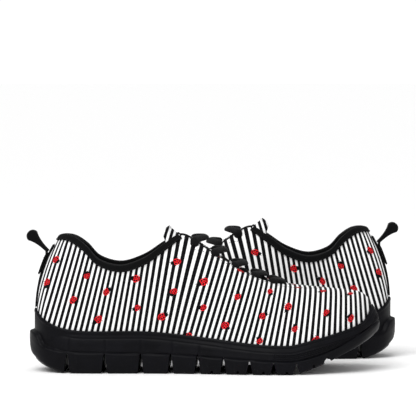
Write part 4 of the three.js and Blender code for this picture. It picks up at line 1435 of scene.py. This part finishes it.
def makeInner():
    xs = (6.0, length - 4)
    bed = podPlate(*xs, inner["inset"], lambda x, y: footbedAt(x),
                   lambda x, y: footbedAt(x) + inner["board"], 90, 24)
    putOnShoes("StrobelBoard", sweep("board", bed, bed[..., :2]), "board", ["strobel_board"])
    under = inner["board"] + inner["gap"]

    def insoleTop(x, _):
        flat = np.linspace(-1, 1, x.shape[1])[None, :]
        ends = np.linspace(0, 1, x.shape[0])[:, None]
        rim = np.clip((1 - np.abs(flat)) / 0.1, 0, 1) * np.clip(np.minimum(ends, 1 - ends) / 0.02, 0, 1)
        cup = 0.9 * np.abs(flat) ** 3 * (1 - smoothStep(60, 150, x))
        return footbedAt(x) + under + inner["insole"] - inner["edge"] * (1 - rim ** 0.5) - 0.9 + cup
    pad = podPlate(*xs, inner["inset"], lambda x, y: footbedAt(x) + under, insoleTop, 110, 40)
    putOnShoes("Insole", sweep("insole", pad, pad[..., :2]), "sockliner", ["insole"],
               body="insole")


makeInner()
print("board and insole made")

# Tongue.
tongue = {
    "skin": 0.8, "padding": 4.0, "gap": 0.4, "top": 15.3, "root": 14.0, "arch": 7.0, "over": 7.0,
    "crown": 0.9, "edgeRadius": 1.5,
}


def tongueLine():
    throat, instep = form["throat"], form["instep"]
    spots = [(0.766, throat - 9.5), (0.71, throatFall(0) - 6.2), (0.645, throatFall(0.14) - 5.4),
             (0.575, throatFall(0.37) - 5), (0.505, throatFall(0.71) - 5.6),
             (0.445, throatFall(0.985) - 4.2), (0.402, instep + tongue["over"])]
    stops = np.array([(share * length, 0, z) for share, z in spots])
    stops = np.vstack([2 * stops[0] - stops[1], stops, 2 * stops[-1] - stops[-2]])
    fine = smoothThrough(stops, np.linspace(0, len(spots) - 1, 400))
    run = runAlong(fine)
    return fine, run / run[-1]


tongueFine, tongueRun = tongueLine()


def tonguePoint(along, across, depth):
    along, across, depth = np.broadcast_arrays(*[np.asarray(v, float) for v in (along, across, depth)])

    def lineAt(k):
        return np.stack([np.interp(k, tongueRun, tongueFine[:, axis]) for axis in (0, 1, 2)], -1)
    centre = lineAt(along)
    tangent = unit(lineAt(np.minimum(along + 0.01, 1)) - lineAt(np.maximum(along - 0.01, 0)))
    down = unit(np.stack([tangent[..., 2], np.zeros_like(along), -tangent[..., 0]], -1))
    down = np.where(down[..., 2:] > 0, -down, down)
    y = across * mix(tongue["root"], tongue["top"], np.minimum(along * 1.6, 1))
    drop = tongue["arch"] * (y / tongue["root"]) ** 2
    point = centre + down * (drop + depth * (1 - 0.25 * across * across))[..., None]
    point[..., 1] = centreAt(centre[..., 0]) + y
    return point


def tonguePatch(name, outer, inner, trim):
    alongs = np.linspace(trim, 1 - trim, 90)[:, None]
    acrosses = np.linspace(-1, 1, 36)[None, :]
    wide = acrosses * (1 - trim) * tongueWidthAt(alongs)
    sheets, maps = [], []
    for depth in (outer, inner):
        rows = tonguePoint(alongs, wide, depth(alongs, acrosses))
        sheets.append(rows)
        u, v = np.broadcast_arrays(rows[..., 0] - (rows[..., 2] - 30) * 0.3, rows[..., 1] + 150)
        maps.append(np.stack([u, v], -1))
    return sweep(name, np.concatenate([sheets[0][:, ::-1], sheets[1]], 1),
                 np.concatenate([maps[0][:, ::-1], maps[1]], 1))


def tongueWidthAt(alongs):
    return 1 - 0.42 * np.clip((alongs - 0.86) / 0.14, 0, 1) ** 2.6 - 0.1 * (1 - smoothStep(0, 0.1, alongs))


def crownAt(alongs, acrosses):
    edge = np.clip((1 - np.abs(acrosses)) / 0.35, 0, 1) * np.clip((1 - alongs) / 0.08, 0, 1)
    return tongue["crown"] * (edge ** 0.5 - 1)


def makeTongue():
    skinDepth, foamAt = tongue["skin"], tongue["skin"] + tongue["gap"]
    backAt = foamAt + tongue["padding"] + tongue["gap"]
    face = tonguePatch("tongueFace", lambda a, b: -crownAt(a, b),
                       lambda a, b: skinDepth - crownAt(a, b) * 0.6, 0)
    putOnShoes("TongueFace", face, "print", ["tongue_face"], body="tongue")
    foam = tonguePatch("tongueFoam", lambda a, b: foamAt - crownAt(a, b) * 0.8,
                       lambda a, b: foamAt + tongue["padding"] + 0 * a * b, 0.02)
    putOnShoes("TongueFoam", foam, "padding", ["tongue_foam"], body="tongue")
    back = tonguePatch("tongueBack", lambda a, b: backAt + 0 * a * b,
                       lambda a, b: backAt + skinDepth + 0 * a * b, 0)
    putOnShoes("TongueLining", back, "liningMesh", ["tongue_lining"], body="tongue")
    rise = 1 - 0.7 * np.linspace(1, 0, 90) ** 1.5
    topWidth = float(tongueWidthAt(np.array(1.0)))
    flat = np.linspace(-topWidth, topWidth, 40)[1:-1]
    ks = np.concatenate([rise, np.ones_like(flat), rise[::-1]])
    bs = np.concatenate([-tongueWidthAt(rise), flat, tongueWidthAt(rise[::-1])])
    thickness = backAt + skinDepth
    centre = tonguePoint(ks, bs, thickness / 2)
    rising = tonguePoint(ks, bs, 0) - tonguePoint(ks, bs, thickness)
    half = np.linalg.norm(rising, axis=-1) / 2 + 0.35
    rising = unit(rising)
    for _ in range(6):
        centre[1:-1] = (centre[:-2] + 2 * centre[1:-1] + centre[2:]) / 4
        rising[1:-1] = unit(rising[:-2] + 2 * rising[1:-1] + rising[2:])
    tangent = unit(np.gradient(centre, axis=0))
    outward = unit(np.cross(tangent, rising))
    angles = np.linspace(0, 2 * math.pi, 18, endpoint=False)
    rings = (centre[:, None] + rising[:, None] * (np.cos(angles)[None, :] * half[:, None])[..., None]
             + outward[:, None] * (np.sin(angles)[None, :] * tongue["edgeRadius"])[..., None])
    uvs = np.stack([rings[..., 0] - (rings[..., 2] - 30) * 0.3, rings[..., 1] + 150], -1)
    edge = sweep("tongueEdge", rings, uvs, fan=True)
    putOnShoes("TongueEdge", edge, "print", body="tongue")


makeTongue()
print("tongue made")

# Lace.
laceForm = {
    "halfWidth": 3.6, "halfThickness": 1.95, "clear": 2.3, "stay": 2.7, "under": 6.0, "tail": 7.0,
    "lean": 2.4, "sag": 6.4, "stepsPerStop": 6, "sides": 16,
}


def laceRoute():
    clear, under = laceForm["clear"], laceForm["under"]
    stops = []

    def put(point, normal):
        stops.append((np.asarray(point, float), unit(np.asarray(normal, float))))

    def hole(row, side):
        around = -side * eyeletShare(row)
        return skin(around, eyelets["up"]), skinNormal(around, eyelets["up"])

    def towards(spot, target):
        point, normal = spot
        way = target - point
        return unit(way - normal * np.dot(way, normal))

    def eyeletPass(spot, over, beneath, upwards):
        point, normal = spot
        passing = [(point - normal * under + beneath * laceForm["lean"], -normal),
                   (point - normal * (laceForm["stay"] + 0.6), mix(beneath, over, 0.5)),
                   (point + normal * 0.4, -over),
                   (point + normal * clear + over * laceForm["lean"], normal)]
        for i, (place, facing) in enumerate(passing if upwards else passing[::-1]):
            below = i < 2 if upwards else i > 1
            put(place, -facing if below and i % 3 else facing)

    def tail(row, side):
        around = -side * eyeletShare(row)
        return [(inward(around, up, laceForm["tail"]), -skinNormal(around, up))
                for up in (0.4, 0.52, 0.64, 0.75)]

    for place, facing in tail(0, -1):
        put(place, facing)
    crownUp = unit(np.array([0.35, 0, 1.0]))
    for row in range(eyelets["rows"]):
        outer, far = hole(row, -1), hole(row, 1)
        came = towards(outer, hole(row - 1, 1)[0] if row else skin(eyeletShare(0), 0.7))
        eyeletPass(outer, towards(outer, far[0]), came, True)
        hump = np.dot(skin(-eyeletShare(row), 1.0) - far[0], crownUp) + 1.4
        for k in (0.28, 0.5, 0.72):
            normal = mix(mix(outer[1], far[1], k), crownUp, 0.3)
            bow = math.sin(math.pi * k)
            sag = laceForm["sag"] * np.array([bow ** 0.7, 0, -0.3 * bow])
            put(mix(outer[0], far[0], k) + crownUp * (clear + hump * bow ** 0.5) + sag, normal)
        last = row + 1 == eyelets["rows"]
        goes = towards(far, skin(-eyeletShare(row), 0.7) if last else hole(row + 1, -1)[0])
        eyeletPass(far, towards(far, outer[0]), goes, False)
        if last:
            break
        following = hole(row + 1, -1)
        for k, sink in ((0.15, 1), (0.32, 0.68), (0.5, 0.07), (0.68, 0.6), (0.85, 1)):
            normal = unit(mix(far[1], following[1], k))
            put(mix(far[0], following[0], k) - normal * under * sink, -normal)
    for place, facing in tail(eyelets["rows"] - 1, 1)[::-1]:
        put(place, facing)
    return np.array([p for p, _ in stops]), np.array([n for _, n in stops])


def makeLace():
    points, normals = laceRoute()
    ends = [2 * points[0] - points[1]], [2 * points[-1] - points[-2]]
    stops = np.vstack([ends[0], points, ends[1]])
    places = np.linspace(0, len(points) - 1, (len(points) - 1) * laceForm["stepsPerStop"] + 1)
    line = smoothThrough(stops, np.minimum(places, len(points) - 1.0001))
    order = np.arange(len(points))
    facing = unit(np.stack([np.interp(places, order, normals[:, axis]) for axis in range(3)], -1))
    for _ in range(4):
        facing[1:-1] = unit(facing[:-2] + facing[1:-1] * 2 + facing[2:])
    tangent = unit(np.gradient(line, axis=0))
    wide = unit(np.cross(tangent, facing))
    thick = np.cross(wide, tangent)
    angles = np.linspace(0, 2 * math.pi, laceForm["sides"], endpoint=False)
    rings = (line[:, None] + wide[:, None] * (laceForm["halfWidth"] * np.cos(angles))[None, :, None]
             + thick[:, None] * (laceForm["halfThickness"] * np.sin(angles))[None, :, None])
    run = runAlong(line)
    girth = angles * (laceForm["halfWidth"] + laceForm["halfThickness"]) / 2
    uvs = crossed(run[:, None], girth[None, :])
    putOnShoes("Lace", sweep("lace", rings, uvs, fan=True, sharp=60), "lace", ["lace"])
    print("lace length, mm:", round(float(run[-1])))


makeLace()

# Heel tape and pull tab.
tab = {
    "length": 21.5, "drop": 13.5, "bulb": 5.0, "wall": 1.3, "width": 12.0, "lean": 135, "tape": 1.2,
    "clearance": 0.3, "tapeHalf": 0.55, "neckShare": 0.62, "seamHalf": 4.4,
}


def skinAtHeight(height, outwardBy):
    ups = np.linspace(0, 1, 200)
    path = inward(1e-7, ups, -outwardBy)
    zs = np.maximum.accumulate(path[:, 2])
    return np.array([np.interp(height, zs, path[:, axis]) for axis in range(3)])


def makeTape():
    arounds = np.linspace(-1, 1, 25) * tab["tapeHalf"] / columns + 1e-7
    lowUp = heightOnSkin(arounds, np.full_like(arounds, float(biteAt(0)) + 1))[12]
    ups = np.linspace(lowUp, 0.9, 60)
    edge = (1 - np.abs(np.linspace(-1, 1, 25)) ** 8)[:, None]
    lift = tab["clearance"] + 0.3 + (tab["tape"] - 0.3) * edge
    outer = inward(arounds[:, None], ups[None, :], -lift)
    inner = inward(arounds[:, None], ups[None, :], -tab["clearance"])
    sections = np.concatenate([outer, inner[:, ::-1]], 1)
    run = runAlong(outer[12])
    run = np.concatenate([run, run[::-1]])
    uvs = crossed(np.linspace(-8, 8, 25)[:, None], run[None, :])
    putOnShoes("HeelTape", sweep("tape", sections, uvs), "webbing", ["heel_tape"])
    lines = [inward(k * tab["tapeHalf"] / columns, ups, -tab["tape"] - 0.1) for k in (-0.8, 0.8)]
    addStitches("TapeStitches", lines, pitch=2.4, size=1.7, thickness=0.4)


def makePullTab():
    lean = math.radians(tab["lean"])
    seat = skinAtHeight(form["heelTop"] - tab["drop"], tab["clearance"] + tab["tape"])
    root = seat + np.array([-tab["wall"] - tab["clearance"], 0, tab["wall"]])
    centre = tab["length"] - tab["bulb"]
    angles = np.linspace(-math.pi / 2, math.pi / 2, 25)
    rise = np.linspace(0, 1, 16)[:-1]

    def neck(sign):
        wall, bulb = sign * tab["wall"], sign * tab["bulb"]
        start, bend, end = (-1.5, wall), (centre * tab["neckShare"], wall), (centre, bulb)
        k = rise[:, None]
        return (1 - k) ** 2 * np.array(start) + 2 * k * (1 - k) * np.array(bend) + k ** 2 * np.array(end)
    arc = np.stack([centre + tab["bulb"] * np.cos(angles), tab["bulb"] * np.sin(angles)], -1)
    outline = np.vstack([neck(-1), arc, neck(1)[::-1]])
    middle = np.array([centre * 0.75, 0])
    half = tab["width"] / 2
    across = np.array([-1, -0.97, -0.88, -0.6, 0, 0.6, 0.88, 0.97, 1])
    pull = 1 - 0.10 * smoothStep(0.8, 1.0, np.abs(across))
    flat = middle + (outline - middle)[None] * pull[:, None, None]
    turned = np.stack([flat[..., 0] * math.cos(lean) - flat[..., 1] * math.sin(lean),
                       np.broadcast_to((across * half)[:, None], flat.shape[:2]),
                       flat[..., 0] * math.sin(lean) + flat[..., 1] * math.cos(lean)], -1)
    rings = turned + np.array([root[0], root[1], root[2]])
    run = runAlong(outline)
    uvs = crossed((across * half)[:, None], run[None, :])
    putOnShoes("PullTab", sweep("pullTab", rings, uvs, fan=True), "webbing", ["pull_tab"],
               body="pull_tab")


# The sewn root: webbing that lies on the tape and curves out into the tab's neck.
def makeTabRoot():
    seat = skinAtHeight(form["heelTop"] - tab["drop"], tab["clearance"] + tab["tape"])
    root = seat + np.array([-tab["wall"] - tab["clearance"], 0, tab["wall"]])
    lean = math.radians(tab["lean"])
    heights = np.linspace(form["heelTop"] - 32, form["heelTop"] - 17, 12)
    flat = np.array([skinAtHeight(height, tab["clearance"] + tab["tape"] + 0.85) for height in heights])
    out = np.array([math.cos(lean), 0, math.sin(lean)])
    bend = root - np.array([0.2, 0, 3.0])
    line = np.vstack([flat, bend, root + out * 0.6, root + out * 2.2])
    stops = np.vstack([2 * line[0] - line[1], line, 2 * line[-1] - line[-2]])
    path = smoothThrough(stops, np.linspace(0, len(line) - 1.0001, 70))
    tangent = unit(np.gradient(path, axis=0))
    facing = np.stack([-tangent[:, 2], 0 * tangent[:, 0], tangent[:, 0]], -1)
    half = tab["width"] / 2 - 0.25
    thick = np.interp(np.linspace(0, 1, 70), (0, 0.08, 0.75, 1), (0.45, 0.8, 0.8, 1.0))
    corners = [(-1, -0.6), (-0.97, -0.95), (-0.6, -1), (0.6, -1), (0.97, -0.95), (1, -0.6),
               (1, 0.6), (0.97, 0.95), (0.6, 1), (-0.6, 1), (-0.97, 0.95), (-1, 0.6)]
    rings = np.stack([path + np.array([0, half * y, 0]) + facing * (thick * d)[:, None]
                      for y, d in corners], 1)
    run = runAlong(path)
    uvs = crossed(np.array([half * y for y, _ in corners])[None, :], run[:, None])
    putOnShoes("TabRoot", sweep("tabRoot", rings, uvs, fan=True), "webbing")
    surface = np.array([skinAtHeight(height, tab["clearance"] + tab["tape"] + 1.65) for height in heights])
    top, bottom = surface[-2], surface[1]
    aside = np.array([0, tab["seamHalf"], 0])
    rows = [np.stack([mix(bottom, top, k) + side for k in np.linspace(0, 1, 12)])
            for side in (-aside, aside)]
    rows += [np.stack([end + aside * k for k in np.linspace(-1, 1, 8)]) for end in (top, bottom)]
    addStitches("TabStitches", rows, pitch=2.0, size=1.5, thickness=0.4)


makeTape()
makePullTab()
makeTabRoot()
print("tape and pull tab made")
